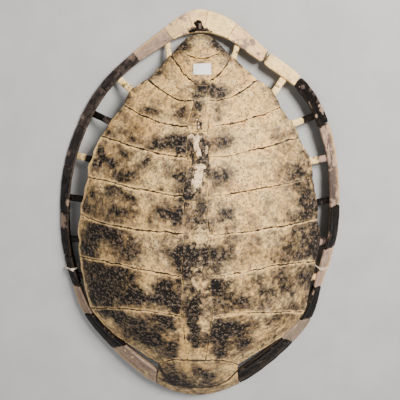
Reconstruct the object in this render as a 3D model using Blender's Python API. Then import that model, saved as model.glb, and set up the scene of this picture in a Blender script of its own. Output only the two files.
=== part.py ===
"""Upper shell of a green sea turtle, cleaned to bare bone, as a set of separate bones.

The shell lies dome up on the lower edge of its rim. The origin is under the middle of the
shell at floor level. The tail points along +Y, the head end along -Y and the dome along +Z.
A middle row of narrow bones carries the backbone. Eight rib plates lie on each side of it, and
each plate has a rib under it whose bare end crosses an open gap to the rim. The rim is a ring
of bones with a groove inside for the rib ends. Every bone stops short of its neighbours at a
fine open joint. All sizes below are in millimetres.
"""
import bmesh
import bpy
import numpy as np

for item in list(bpy.data.objects):
    bpy.data.objects.remove(item, do_unlink=True)

MM = 0.001
JOINT_GAP = 0.4
CENTRE = np.array([0.84, 1.10, 0.0])

# Joints of the rim, as seen from above, from the tail round the left side to the head end and
# back up the right side.
RIM_TAIL = (-5, 452)
RIM_LEFT = [(-28, 446), (-78, 414), (-146, 362), (-221, 292), (-275, 205), (-311, 112),
            (-326, 5), (-322, -105), (-304, -175), (-278, -246), (-212, -333), (-108, -425)]
RIM_HEAD = (-5, -456)
RIM_RIGHT = [(18, 450), (80, 422), (152, 363), (223, 310), (289, 210), (315, 112),
             (325, 20), (318, -85), (290, -178), (268, -258), (226, -316), (97, -425)]
RIM_POINTS = np.array([RIM_TAIL] + RIM_LEFT + [RIM_HEAD] + RIM_RIGHT[::-1], float)

# Height of the rim's lower edge over the floor at the same joints, tail first.
LIFT_SIDE = [0, 2, 8, 8, 4, 0, 0, 0, 13, 20, 27, 32]
LIFT = np.array([0] + LIFT_SIDE + [34] + LIFT_SIDE[::-1], float)

# Width of the rim's upper face at the same joints, measured level, tail first.
WIDTH_TAIL = 48
WIDTH_LEFT = [46, 31, 23, 21, 22, 25, 22, 21, 21, 30, 50, 62]
WIDTH_HEAD = 62
WIDTH_RIGHT = [47, 38, 28, 25, 27, 24, 29, 31, 24, 36, 50, 62]
WIDTH = np.array([WIDTH_TAIL] + WIDTH_LEFT + [WIDTH_HEAD] + WIDTH_RIGHT[::-1], float)

# The dome: summit position and height, how full it is toward the sides, the tail and the head
# end, and the height of the rounded outer edge over the rim's lower edge.
SUMMIT = np.array([0.0, -60.0])
SUMMIT_HEIGHT = 208
FULL_SIDE = 0.12
FULL_TAIL = -0.35
FULL_HEAD = -0.05
NOSE_HEIGHT = 6

# Section of the rim.
RIM_SHEET = 5
FOOT_START = 3
FOOT_END = 11
LIP_INSET_SIDE = 24
LIP_INSET_TAIL = 19

# Edges of the middle row of bones: distance along the shell, left edge, right edge. The edge is
# widest where a rib plate joint meets it and narrowest at the joints between middle bones.
STRIP = [(-307, -29, 13), (-192, -37, 23), (-178, -41, 27), (-96, -34, 20), (-82, -37, 24),
         (-7, -31, 15), (6, -34, 19), (72, -31, 13), (81, -35, 17), (141, -23, 13),
         (157, -27, 18), (206, -24, 15), (215, -27, 18), (243, -17, 15), (266, -14, 19),
         (270, -12, 17), (297, -11, 15)]
MIDDLE_JOINTS = [-307, -192, -96, -7, 72, 141, 206, 243, 270, 297]
PLATE_JOINTS = [-307, -178, -82, 6, 81, 157, 215, 266, 297]

# Joints of the rib plates on each side, head end first, each from the middle row outward. The
# first is the front edge of the first plate and the last is the rear edge of the eighth.
FRONT_EDGE_LEFT = [(-29, -307), (-64, -313), (-97, -333), (-125, -315), (-155, -298),
                   (-190, -277), (-225, -249)]
JOINTS_LEFT = [
    [(-41, -178), (-106, -175), (-175, -184), (-253, -213)],
    [(-37, -82), (-103, -77), (-181, -75), (-271, -87)],
    [(-34, 6), (-102, 9), (-178, 8), (-263, 15)],
    [(-35, 81), (-102, 87), (-167, 94), (-243, 99)],
    [(-27, 157), (-86, 160), (-146, 173), (-211, 186)],
    [(-27, 215), (-72, 219), (-115, 231), (-161, 252)],
    [(-14, 266), (-44, 267), (-73, 278), (-108, 304)],
    [(-11, 297), (-24, 309), (-38, 324), (-62, 355)]]
FRONT_EDGE_RIGHT = [(13, -307), (52, -313), (89, -337), (118, -318), (148, -298),
                    (184, -280), (217, -250)]
JOINTS_RIGHT = [
    [(27, -178), (85, -178), (157, -189), (242, -222)],
    [(24, -82), (84, -79), (165, -76), (259, -97)],
    [(19, 6), (88, 7), (165, 9), (257, 6)],
    [(17, 81), (81, 86), (155, 94), (241, 97)],
    [(18, 157), (75, 159), (137, 172), (209, 185)],
    [(18, 215), (68, 220), (119, 231), (169, 248)],
    [(19, 266), (46, 267), (76, 277), (119, 303)],
    [(15, 297), (27, 307), (40, 318), (67, 352)]]
PLATE_STATIONS = 6
PLATE_ROWS = 4
PLATE_THICK = 7

# How far the free outer edge of each plate bulges past the straight line between its corners,
# at five places from its front corner to its rear corner. First plate first.
BULGE_LEFT = [(0, 2, 3, 3, 4), (4, 5, 5, 6, 2), (2, 6, 8, 7, 2), (2, 6, 2, 4, 1),
              (1, 10, 6, 7, 3), (3, 3, 5, 4, 4), (4, 11, 14, 9, 5), (5, 3, 3, 3, 3)]
BULGE_RIGHT = [(0, 1, 2, 2, 2), (2, 4, 2, 5, 3), (3, 9, 12, 9, 2), (2, 8, 7, 5, 4),
               (4, 11, 12, 7, 3), (3, 8, 5, 5, 3), (3, 10, 13, 13, 5), (5, 4, 3, 3, 3)]

# Where each rib leaves its plate, as a share of the way from the plate's front corner to its
# rear corner, and where it meets the rim, as a count of joints from the tail. First rib first.
RIB_SHARE = [0.65, 0.64, 0.42, 0.40, 0.42, 0.46, 0.46, 0.92]
RIB_STATION_LEFT = [9.7, 8.65, 7.6, 6.65, 5.65, 4.6, 3.6, 2.15]
RIB_STATION_RIGHT = [9.7, 8.75, 7.8, 6.8, 5.75, 4.75, 3.65, 2.3]
RIB_REACH = 5
RIB_HEAD_OFFSET = 13
RIB_HEAD_DEPTH = 27

# Backbone under the middle row.
SPOOL_DEPTH = 27
SPOOL_RADIUS = 8
SPOOL_WAIST = 5.5
KEEL_HALF = 3

# Bones behind the middle row, and the plate at the head end.
LAST_MIDDLE_FRONT = [(-47, 375), (-34, 362), (-11, 350), (13, 349), (38, 359), (49, 373)]
TIP_EDGE = [(-29, 392), (-17, 398), (-6, 400), (7, 400), (19, 398), (30, 390)]
HEAD_RIM_THICK = 13

# Blank paper label and the string ties.
LABEL_CORNERS = [(-14, 316), (23, 316), (23, 339), (-14, 338)]
LABEL_THICK = 0.3
STRING_RADIUS = 1.9
TIE_STATION_LEFT = 8.4
TIE_STATION_RIGHT = 8.5

BONE_PALE = (0.62, 0.47, 0.30)
BONE_DARK = (0.10, 0.07, 0.05)
BONE_PINK = (0.50, 0.37, 0.30)
PAPER = (0.85, 0.84, 0.80)
STRING = (0.72, 0.64, 0.48)


def closed_spline(points):
    """Smooth closed curve through the points; its parameter counts the points."""
    count = len(points)
    step = np.linalg.norm(np.roll(points, -1, 0) - points, axis=1)
    before = np.roll(step, 1)
    matrix = np.zeros((count, count))
    rows = np.arange(count)
    matrix[rows, (rows - 1) % count] = before
    matrix[rows, rows] = 2 * (before + step)
    matrix[rows, (rows + 1) % count] = step
    slope = (np.roll(points, -1, 0) - points) / step[:, None]
    bend = np.linalg.solve(matrix, 6 * (slope - np.roll(slope, 1, 0)))

    def at(t):
        t = np.atleast_1d(np.asarray(t, float)) % count
        low = np.minimum(t.astype(int), count - 1)
        high = (low + 1) % count
        length = step[low][:, None]
        part = (t - low)[:, None]
        rest = 1 - part
        return (rest * points[low] + part * points[high]
                + length ** 2 / 6 * ((rest ** 3 - rest) * bend[low]
                                     + (part ** 3 - part) * bend[high]))
    return at


RIM_CURVE = closed_spline(RIM_POINTS)
RIM_COUNT = len(RIM_POINTS)
FINE_T = np.linspace(0, RIM_COUNT, 1040, endpoint=False)
FINE_RIM = RIM_CURVE(FINE_T)


def round_ring(values, t):
    """Value at a place on the rim, straight between the values given at its joints."""
    return np.interp(np.asarray(t, float) % RIM_COUNT, np.arange(RIM_COUNT + 1),
                     np.append(values, values[0]))


FINE_ANGLE = np.arctan2(FINE_RIM[:, 1] - SUMMIT[1], FINE_RIM[:, 0] - SUMMIT[0]) % (2 * np.pi)
ORDER = np.argsort(FINE_ANGLE)
ANGLES = FINE_ANGLE[ORDER]
RADII = np.linalg.norm(FINE_RIM - SUMMIT, axis=1)[ORDER]
EDGE_HEIGHTS = round_ring(LIFT, FINE_T)[ORDER] + NOSE_HEIGHT


def dome(x, y):
    """Height of the outer surface over a point on the floor."""
    dx = np.asarray(x, float) - SUMMIT[0]
    dy = np.asarray(y, float) - SUMMIT[1]
    angle = np.arctan2(dy, dx) % (2 * np.pi)
    reach = np.interp(angle, ANGLES, RADII, period=2 * np.pi)
    edge = np.interp(angle, ANGLES, EDGE_HEIGHTS, period=2 * np.pi)
    toward = np.sin(angle)
    full = (FULL_SIDE + (FULL_TAIL - FULL_SIDE) * np.clip(toward, 0, 1) ** 3
            + (FULL_HEAD - FULL_SIDE) * np.clip(-toward, 0, 1) ** 3)
    share = (dx ** 2 + dy ** 2) / reach ** 2
    return edge + (SUMMIT_HEIGHT - edge) * (1 - share) * (1 + full * share)


def lift(plan):
    """Points on the outer surface over points on the floor."""
    plan = np.asarray(plan, float)
    return np.concatenate([plan, dome(plan[..., 0], plan[..., 1])[..., None]], -1)


def normal(plan):
    """Direction straight out of the outer surface."""
    plan = np.asarray(plan, float)
    x, y = plan[..., 0], plan[..., 1]
    slope_x = (dome(x + 1, y) - dome(x - 1, y)) / 2
    slope_y = (dome(x, y + 1) - dome(x, y - 1)) / 2
    out = np.stack([-slope_x, -slope_y, np.ones_like(x)], -1)
    return out / np.linalg.norm(out, axis=-1, keepdims=True)


def material(name, colour):
    """Plain material of one piece."""
    made = bpy.data.materials.new(name)
    made.use_nodes = True
    shader = made.node_tree.nodes["Principled BSDF"]
    shader.inputs["Base Color"].default_value = (*colour, 1)
    shader.inputs["Roughness"].default_value = 0.8
    made.diffuse_color = (*colour, 1)
    return made


def solid(name, points, faces, colour):
    """Object from points in millimetres and faces."""
    mesh = bpy.data.meshes.new(name)
    placed = (np.asarray(points) + CENTRE) * MM
    mesh.from_pydata(placed.tolist(), [], [list(map(int, face)) for face in faces])
    mesh.validate()
    mesh.materials.append(material(name + "_look", colour))
    made = bpy.data.objects.new(name, mesh)
    bpy.context.scene.collection.objects.link(made)
    return made


def join(base, others):
    """Fuse more solids into the first one."""
    for other in others:
        cut = base.modifiers.new("join_" + other.name, "BOOLEAN")
        cut.operation = "UNION"
        cut.solver = "EXACT"
        cut.object = other
        other.hide_render = True
        other.display_type = "WIRE"
    bpy.context.view_layer.update()
    shape = bpy.data.meshes.new_from_object(
        base.evaluated_get(bpy.context.evaluated_depsgraph_get()))
    base.modifiers.clear()
    base.data = shape
    for other in others:
        bpy.data.objects.remove(other, do_unlink=True)
    return base


def shell_faces(rows, columns):
    """Faces of a closed plate whose upper and lower sheets are grids of the same size."""
    index = np.arange(rows * columns).reshape(rows, columns)
    low = index + rows * columns
    faces = []
    for r in range(rows - 1):
        for c in range(columns - 1):
            faces.append((index[r, c], index[r, c + 1], index[r + 1, c + 1], index[r + 1, c]))
            faces.append((low[r, c], low[r + 1, c], low[r + 1, c + 1], low[r, c + 1]))
    for c in range(columns - 1):
        faces.append((index[0, c + 1], index[0, c], low[0, c], low[0, c + 1]))
        faces.append((index[-1, c], index[-1, c + 1], low[-1, c + 1], low[-1, c]))
    for r in range(rows - 1):
        faces.append((index[r, 0], index[r + 1, 0], low[r + 1, 0], low[r, 0]))
        faces.append((index[r + 1, -1], index[r, -1], low[r, -1], low[r + 1, -1]))
    return faces


def faces_up(plan):
    """True when a grid's faces turn counter-clockwise seen from above."""
    along = plan[0, 1] - plan[0, 0]
    across = plan[1, 0] - plan[0, 0]
    return along[0] * across[1] - along[1] * across[0] > 0


def plate(name, plan, thick, colour):
    """Closed plate under the outer surface, over a grid of points on the floor."""
    if not faces_up(plan):
        plan = plan[::-1]
        thick = thick[::-1] if np.ndim(thick) else thick
    top = lift(plan)
    deep = np.broadcast_to(thick, plan.shape[:2])[..., None]
    under = top - normal(plan) * deep
    points = np.concatenate([top.reshape(-1, 3), under.reshape(-1, 3)])
    return solid(name, points, shell_faces(*plan.shape[:2]), colour)


def narrowed(plan, gap, edges):
    """Pull the chosen edges of a grid inward by the gap. Edges: first, last, left, right."""
    plan = plan.copy()
    source = plan.copy()

    def pull(line, inner):
        along = np.gradient(line, axis=0)
        along /= np.linalg.norm(along, axis=1, keepdims=True)
        side = np.stack([-along[:, 1], along[:, 0]], 1)
        toward = np.sign(np.sum(side * (inner - line), axis=1, keepdims=True))
        return side * toward * gap
    if "first" in edges:
        plan[0] += pull(source[0], source[1])
    if "last" in edges:
        plan[-1] += pull(source[-1], source[-2])
    if "left" in edges:
        plan[:, 0] += pull(source[:, 0], source[:, 1])
    if "right" in edges:
        plan[:, -1] += pull(source[:, -1], source[:, -2])
    return plan


def bent_line(points, count):
    """Even stations along a gently bent line through four points."""
    points = np.asarray(points, float)
    knots = np.linspace(0, 1, len(points))
    where = np.linspace(0, 1, count)
    out = np.zeros((count, 2))
    for i, knot in enumerate(knots):
        weight = np.ones(count)
        for j, other in enumerate(knots):
            if j != i:
                weight *= (where - other) / (knot - other)
        out += weight[:, None] * points[i]
    return out


def side_joints(side):
    """The nine lines that bound the eight rib plates of one side, head end first."""
    front = FRONT_EDGE_LEFT if side == "left" else FRONT_EDGE_RIGHT
    rest = JOINTS_LEFT if side == "left" else JOINTS_RIGHT
    return [np.array(front, float)] + [bent_line(line, PLATE_STATIONS + 1) for line in rest]


def strip_edge(y, side):
    """Edge of the middle row at a place along the shell."""
    table = np.array(STRIP, float)
    return np.interp(y, table[:, 0], table[:, 1 if side == "left" else 2])


def strip_centre(y):
    """Middle of the middle row at a place along the shell."""
    return (strip_edge(y, "left") + strip_edge(y, "right")) / 2


def costal_plan(number, side):
    """Grid of one rib plate as seen from above, rows head to tail, columns outward."""
    lines = side_joints(side)
    front, rear = lines[number - 1], lines[number]
    v = np.linspace(0, 1, PLATE_ROWS + 1)
    plan = (1 - v)[:, None, None] * front + v[:, None, None] * rear
    low, high = PLATE_JOINTS[number - 1], PLATE_JOINTS[number]
    between = [y for y in MIDDLE_JOINTS if low < y < high]
    turn = between[-1] if between else low + 0.75 * (high - low)
    if number == 8:
        turn = 270 + 13
    inner_y = np.append(np.linspace(low, turn, PLATE_ROWS), high)
    if number == 8:
        inner_y = np.array([266, 270, 279, 288, 297], float)
    inner = np.stack([strip_edge(inner_y, side), inner_y], 1)
    fade = (1 - np.linspace(0, 1, PLATE_STATIONS + 1)) ** 2
    plan += (inner - plan[:, 0])[:, None] * fade[None, :, None]
    outward = plan[:, -1] - plan[:, -2]
    outward /= np.linalg.norm(outward, axis=1, keepdims=True)
    bulge = (BULGE_LEFT if side == "left" else BULGE_RIGHT)[number - 1]
    plan[:, -1] += outward * np.array(bulge, float)[:, None]
    return plan


def rim_frame(t):
    """Rim point, inward level direction and unit inward step at a place on the rim."""
    here = RIM_CURVE(t)[0]
    ahead = RIM_CURVE(t + 0.01)[0] - RIM_CURVE(t - 0.01)[0]
    inward = np.array([-ahead[1], ahead[0]]) / np.linalg.norm(ahead)
    if inward @ (SUMMIT - here) < 0:
        inward = -inward
    head = RIM_COUNT / 2
    near = np.clip(1 - abs(abs(t % RIM_COUNT - head) - 1), 0, 1) ** 2
    lean = np.array([0.12 if t % RIM_COUNT < head else -0.12, 1.0])
    inward = (1 - near) * inward + near * lean
    return here, inward / np.linalg.norm(inward)


def rim_width(t):
    """Level width of the rim's upper face at a place on the rim."""
    return float(round_ring(WIDTH, t))


def rim_section(t):
    """Outline of the rim's cut face at a place on the rim, as points in space."""
    here, inward = rim_frame(t)
    base = float(round_ring(LIFT, t))
    width = rim_width(t)
    tail_share = np.clip((here[1] - 330) / 90, 0, 1)
    lip = LIP_INSET_SIDE + (LIP_INSET_TAIL - LIP_INSET_SIDE) * tail_share

    def top(inset):
        spot = here + inward * inset
        return float(dome(spot[0], spot[1]))

    def under(inset):
        rise = (top(inset + 1) - top(inset - 1)) / 2
        fall = np.array([rise, -1.0]) / np.hypot(rise, 1)
        return inset + fall[0] * RIM_SHEET, top(inset) + fall[1] * RIM_SHEET

    outline = [(width, top(width)), (width * 0.5, top(width * 0.5)), (2, top(2)),
               (0, base + 4.5), (FOOT_START, base), (FOOT_END, base),
               (lip - 1, base + 4), (lip, base + 7.5), under(9), under(width)]
    return [np.array([*(here + inward * inset), height]) for inset, height in outline]


def rim_bone(name, start, end, cuts, colour):
    """One bone of the rim between two joints."""
    step = 0.01
    speed = np.linalg.norm(RIM_CURVE(start + step)[0] - RIM_CURVE(start)[0]) / step
    start += JOINT_GAP / 2 / speed
    speed = np.linalg.norm(RIM_CURVE(end)[0] - RIM_CURVE(end - step)[0]) / step
    end -= JOINT_GAP / 2 / speed
    sections = [rim_section(t) for t in np.linspace(start, end, cuts + 1)]
    size = len(sections[0])
    points = np.concatenate(sections)
    faces = [list(range(size)), list(range(cuts * size, (cuts + 1) * size))[::-1]]
    for i in range(cuts):
        for j in range(size):
            k = (j + 1) % size
            faces.append((i * size + j, (i + 1) * size + j, (i + 1) * size + k, i * size + k))
    return solid(name, points, faces, colour)


def rod(name, centres, across, upward, wide, tall, sides, colour):
    """Rod with an oval section along a path."""
    angle = 2 * np.pi * np.arange(sides) / sides
    rings = []
    for centre, a, u, w, h in zip(centres, across, upward, wide, tall):
        rings.append(centre + np.cos(angle)[:, None] * a * w / 2
                     + np.sin(angle)[:, None] * u * h / 2)
    points = np.concatenate(rings)
    count = len(rings)
    faces = [list(range(sides))[::-1], list(range((count - 1) * sides, count * sides))]
    for i in range(count - 1):
        for j in range(sides):
            k = (j + 1) % sides
            faces.append((i * sides + j, i * sides + k, (i + 1) * sides + k, (i + 1) * sides + j))
    return solid(name, points, faces, colour)


def rib_path(number, side):
    """Level path, depth under the outer surface, width and height of one rib."""
    plan = costal_plan(number, side)
    out = np.linspace(0, 1, PLATE_STATIONS + 1)
    start = 0.72 if number == 1 else 0.5
    share = start + (RIB_SHARE[number - 1] - start) * out ** 2
    middle = np.array([[np.interp(v, np.linspace(0, 1, PLATE_ROWS + 1), plan[:, column, k])
                        for k in (0, 1)] for column, v in enumerate(share)])
    station = (RIB_STATION_LEFT if side == "left" else RIB_STATION_RIGHT)[number - 1]
    t = station if side == "left" else RIM_COUNT - station
    here, inward = rim_frame(t)
    end = here + inward * (rim_width(t) - RIB_REACH)
    sign = -1 if side == "left" else 1
    head_y = middle[0][1]
    head = np.array([strip_centre(head_y) + sign * RIB_HEAD_OFFSET, head_y])
    path = [head, *middle[1:], middle[-1] * 0.45 + end * 0.55, end]
    depth = [RIB_HEAD_DEPTH, 8, 7, 7, 7, 7, 7.5, 9, 9.2]
    wide = [8, 15, 17, 17, 17, 17, 17, 15, 15]
    tall = [7, 8.5, 9, 9, 9, 9, 8, 6.5, 6]
    if number == 8:
        path, depth, tall = path[1:], depth[1:], tall[1:]
        wide = [8, 9, 10, 11, 12, 13, 12, 13]
    return np.array(path), np.array(depth), np.array(wide), np.array(tall)


def rib(number, side, colour):
    """The rib under one plate, with its bare outer end."""
    path, depth, wide, tall = rib_path(number, side)
    surface = lift(path)
    upward = normal(path)
    centres = surface - upward * depth[:, None]
    along = np.gradient(centres, axis=0)
    along /= np.linalg.norm(along, axis=1, keepdims=True)
    across = np.cross(upward, along)
    across /= np.linalg.norm(across, axis=1, keepdims=True)
    upward = np.cross(along, across)
    return rod(f"rib_{side}_{number}", centres, across, upward, wide, tall, 6, colour)


def costal(number, side, colour):
    """One rib plate with its rib."""
    plan = costal_plan(number, side)
    plan = narrowed(plan, JOINT_GAP / 2, ("first", "last", "left"))
    body = plate(f"costal_{side}_{number}", plan, PLATE_THICK, colour)
    return join(body, [rib(number, side, colour)])


def neural(number, colour):
    """One bone of the middle row, with its piece of the backbone below."""
    front, rear = MIDDLE_JOINTS[number - 1], MIDDLE_JOINTS[number]
    inside = [y for y, _, _ in STRIP if front < y < rear]
    rows = sorted({front, rear, *inside, (front + rear) / 2})
    rows = np.array(rows, float)
    left = np.stack([strip_edge(rows, "left"), rows], 1)
    right = np.stack([strip_edge(rows, "right"), rows], 1)
    plan = np.stack([left, (left + right) / 2, right], 1)
    plan = narrowed(plan, JOINT_GAP / 2, ("first", "last", "left", "right"))
    body = plate(f"neural_{number}", plan, PLATE_THICK, colour)
    ends = np.array([front + JOINT_GAP, (front + rear) / 2, rear - JOINT_GAP])
    mids = np.stack([strip_centre(ends), ends], 1)
    top = lift(mids)
    fall = np.array([0, 0, 1.0])
    centres = top - fall * SPOOL_DEPTH
    level = np.array([1.0, 0, 0])
    size = np.array([SPOOL_RADIUS, SPOOL_WAIST, SPOOL_RADIUS]) * 2
    if number == 9:
        size = size * 0.8
    spool = rod(f"spool_{number}", centres, [-level] * 3, [fall] * 3, size, size, 6, colour)
    keel_top = top - fall * (PLATE_THICK - 2)
    keel_low = centres
    points = []
    for high, low in zip(keel_top[[0, 2]], keel_low[[0, 2]]):
        for spot, half in ((high, KEEL_HALF + 2), (low, KEEL_HALF)):
            points += [spot - level * half, spot + level * half]
    points = np.array(points)
    points[:4, 1] += 3
    points[4:, 1] -= 3
    faces = [(0, 1, 3, 2), (4, 6, 7, 5), (0, 4, 5, 1), (2, 3, 7, 6), (0, 2, 6, 4), (1, 5, 7, 3)]
    keel = solid(f"keel_{number}", points, faces, colour)
    return join(body, [keel, spool])


def nuchal(colour):
    """The wide plate at the head end, with its thick front edge."""
    left = side_joints("left")[0][:3][::-1]
    right = side_joints("right")[0][:3]
    rear = np.concatenate([left, right])
    start = RIM_COUNT / 2 - 1
    turn = np.array([0, 0.42, 0.78, 1.2, 1.58, 2])
    outer = RIM_CURVE(start + turn)
    corner = []
    for t in (start, start + 2):
        here, inward = rim_frame(t)
        corner.append(here + inward * rim_width(t))
    rows = []
    for share in (0, 0.06, 0.52, 1):
        rows.append(outer * (1 - share) + rear * share)
    rows = np.array(rows)
    rows[2, 0] = corner[0]
    rows[2, -1] = corner[1]
    rows[1, 0] = outer[0] * 0.9 + corner[0] * 0.1
    rows[1, -1] = outer[-1] * 0.9 + corner[1] * 0.1
    plan = narrowed(rows, JOINT_GAP / 2, ("last", "left", "right"))
    plan[0] += (plan[1] - plan[0]) * 0.02
    thick = np.array([6, HEAD_RIM_THICK, 8, PLATE_THICK])[:, None]
    return plate("nuchal", plan, np.broadcast_to(thick, plan.shape[:2]), colour)


def suprapygals(colour):
    """The two bones between the last middle bone and the tail bone."""
    left = side_joints("left")[-1][::-1]
    right = side_joints("right")[-1]
    front = np.concatenate([left, right])
    share = np.linspace(0, 1, len(front))
    knots = np.linspace(0, 1, len(LAST_MIDDLE_FRONT))
    middle_knots = np.array(LAST_MIDDLE_FRONT, float)
    middle = np.stack([np.interp(share, knots, middle_knots[:, k]) for k in (0, 1)], 1)
    first = narrowed(np.stack([front, (front + middle) / 2, middle]), JOINT_GAP / 2,
                     ("first", "last"))
    plate("suprapygal_1", first, PLATE_THICK, colour)
    tip_knots = np.array(TIP_EDGE, float)
    tip = np.stack([np.interp(share, knots, tip_knots[:, k]) for k in (0, 1)], 1)
    second = narrowed(np.stack([middle, (middle + tip) / 2, tip]), JOINT_GAP / 2, ("first",))
    plate("suprapygal_2", second[:, ::2] if len(share) % 2 else second, 6, colour)


def label():
    """Blank sticker lying on the outer surface."""
    a, b, c, d = [np.array(p, float) for p in LABEL_CORNERS]
    s = np.linspace(0, 1, 4)[:, None]
    plan = np.stack([a + (b - a) * s, d + (c - d) * s])
    plan = np.stack([plan[0], (plan[0] + plan[1]) / 2, plan[1]])
    if not faces_up(plan):
        plan = plan[::-1]
    out = normal(plan)
    low = lift(plan) + out * 1.2
    high = low + out * LABEL_THICK
    points = np.concatenate([high.reshape(-1, 3), low.reshape(-1, 3)])
    return solid("paper_label", points, shell_faces(*plan.shape[:2]), PAPER)


def string_tie(name, t):
    """Closed loop of string round the rim, with its inner side down through the open gap."""
    here, inward = rim_frame(t)
    width = rim_width(t)
    base = float(round_ring(LIFT, t))
    clear = STRING_RADIUS + 0.8

    def top(inset):
        spot = here + inward * inset
        return float(dome(spot[0], spot[1]))
    path = [(-clear, base + 3), (-clear * 0.7, top(0) + clear * 0.7),
            (width * 0.5 - clear * 0.8, top(width * 0.5) + clear * 0.75),
            (width - 0.5, top(width) + clear * 1.5), (width + 8, top(width) - 3),
            (width + 8, base + 13), (LIP_INSET_SIDE + 2, base + 1.5), (FOOT_END, base - clear),
            (1, base - clear * 0.9)]
    centres = np.array([[*(here + inward * inset), height] for inset, height in path])
    sideways = np.array([-inward[1], inward[0], 0.0])
    ahead = np.roll(centres, -1, 0) - np.roll(centres, 1, 0)
    ahead /= np.linalg.norm(ahead, axis=1, keepdims=True)
    out = np.cross(ahead, sideways)
    sides = 6
    angle = 2 * np.pi * np.arange(sides) / sides
    rings = (centres[:, None] + np.cos(angle)[None, :, None] * sideways * STRING_RADIUS
             + np.sin(angle)[None, :, None] * out[:, None] * STRING_RADIUS)
    count = len(path)
    faces = []
    for i in range(count):
        n = (i + 1) % count
        for j in range(sides):
            k = (j + 1) % sides
            faces.append((i * sides + j, i * sides + k, n * sides + k, n * sides + j))
    return solid(name, rings.reshape(-1, 3), faces, STRING)


def face_outward(made):
    """Turn every face of a closed solid outward."""
    work = bmesh.new()
    work.from_mesh(made.data)
    bmesh.ops.recalc_face_normals(work, faces=work.faces)
    volume = work.calc_volume(signed=True)
    if volume < 0:
        bmesh.ops.reverse_faces(work, faces=work.faces)
    work.to_mesh(made.data)
    work.free()


nuchal(BONE_PALE)
for number in range(1, 10):
    neural(number, BONE_PALE)
suprapygals(BONE_PALE)
rim_bone("pygal", -1, 1, 4, BONE_DARK)
for side in ("left", "right"):
    for number in range(1, 9):
        costal(number, side, BONE_PALE)
    for number in range(1, 12):
        start = 12 - number
        cuts = 4 if number in (1, 11) else 3
        if side == "left":
            span = (start, start + 1)
        else:
            span = (RIM_COUNT - start - 1, RIM_COUNT - start)
        shade = BONE_PINK if number in (1, 3, 10) else BONE_DARK
        rim_bone(f"peripheral_{side}_{number}", *span, cuts, shade)
label()
string_tie("string_tie_left", TIE_STATION_LEFT)
string_tie("string_tie_right", RIM_COUNT - TIE_STATION_RIGHT)
for item in bpy.data.objects:
    face_outward(item)
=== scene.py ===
# %% [markdown]
# This is the upper shell of a green sea turtle, cleaned to bare bone. Rib plates and a middle
# row make the dome, bare rib ends cross an open gap, and a ring of separate bones makes the rim.
# It could be sculpted by hand. It is built from formulas, because every bone sits on one shared
# dome and a few functions can make all of them. Sizes are in millimetres until a mesh is made.

# %% Load the frame
import bpy
import numpy as np
from mathutils import Matrix, Vector


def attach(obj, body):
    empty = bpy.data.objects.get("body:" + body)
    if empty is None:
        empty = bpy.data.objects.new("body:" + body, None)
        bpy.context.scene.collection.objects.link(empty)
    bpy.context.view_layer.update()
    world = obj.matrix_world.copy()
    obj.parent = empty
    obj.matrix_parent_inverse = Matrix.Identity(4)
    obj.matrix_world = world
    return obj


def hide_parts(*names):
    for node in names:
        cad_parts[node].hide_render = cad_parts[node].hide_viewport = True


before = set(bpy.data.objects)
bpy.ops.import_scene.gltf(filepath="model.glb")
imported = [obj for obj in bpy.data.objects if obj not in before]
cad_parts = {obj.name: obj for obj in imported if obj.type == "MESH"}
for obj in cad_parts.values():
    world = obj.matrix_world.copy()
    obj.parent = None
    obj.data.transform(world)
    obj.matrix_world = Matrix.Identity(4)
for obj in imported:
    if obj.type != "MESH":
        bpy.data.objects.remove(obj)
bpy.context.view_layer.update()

MM = 0.001
CENTRE = np.array([0.84, 1.10, 0.0])
GRID = 1.45

# %% [markdown]
# The layout is what a person would measure on the shell: where the rim bones meet, how wide and
# how high the rim is there, and where the joints of the plates run. Each bone could have an
# outline of its own. Joints are given instead, because two bones that share one then meet
# exactly. Places are from the middle of the shell, with the tail at positive y.

# %% Sizes of the shell
RIM_TAIL = (-5, 452)
RIM_LEFT = [(-28, 446), (-78, 414), (-146, 362), (-221, 292), (-275, 205), (-311, 112),
            (-326, 5), (-322, -105), (-304, -175), (-278, -246), (-212, -333), (-108, -425)]
RIM_HEAD = (-5, -456)
RIM_RIGHT = [(18, 450), (80, 422), (152, 363), (223, 310), (289, 210), (315, 112),
             (325, 20), (318, -85), (290, -178), (268, -258), (226, -316), (97, -425)]
RIM_POINTS = np.array([RIM_TAIL] + RIM_LEFT + [RIM_HEAD] + RIM_RIGHT[::-1], float)
LIFT_SIDE = [0, 2, 8, 8, 4, 0, 0, 0, 13, 20, 27, 32]
LIFT = np.array([0] + LIFT_SIDE + [34] + LIFT_SIDE[::-1], float)
WIDTH_TAIL = 48
WIDTH_LEFT = [46, 31, 23, 21, 22, 25, 22, 21, 21, 30, 50, 62]
WIDTH_HEAD = 62
WIDTH_RIGHT = [47, 38, 28, 25, 27, 24, 29, 31, 24, 36, 50, 62]
WIDTH = np.array([WIDTH_TAIL] + WIDTH_LEFT + [WIDTH_HEAD] + WIDTH_RIGHT[::-1], float)
SUMMIT = np.array([0.0, -60.0])
SUMMIT_HEIGHT = 208
FULL_SIDE = 0.12
FULL_TAIL = -0.35
FULL_HEAD = -0.05
NOSE_HEIGHT = 6
print("rim", WIDTH.min(), "to", WIDTH.max(), "mm wide, up to", LIFT.max(), "mm off the floor")

# %% [markdown]
# The joints of the dome run in from the strip of middle plates to the free edge. They could be
# read from a drawing by eye while modelling. Written down once, they serve every plate that
# touches them. Each row of the strip is a place along the shell and its left and right edge.

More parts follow.
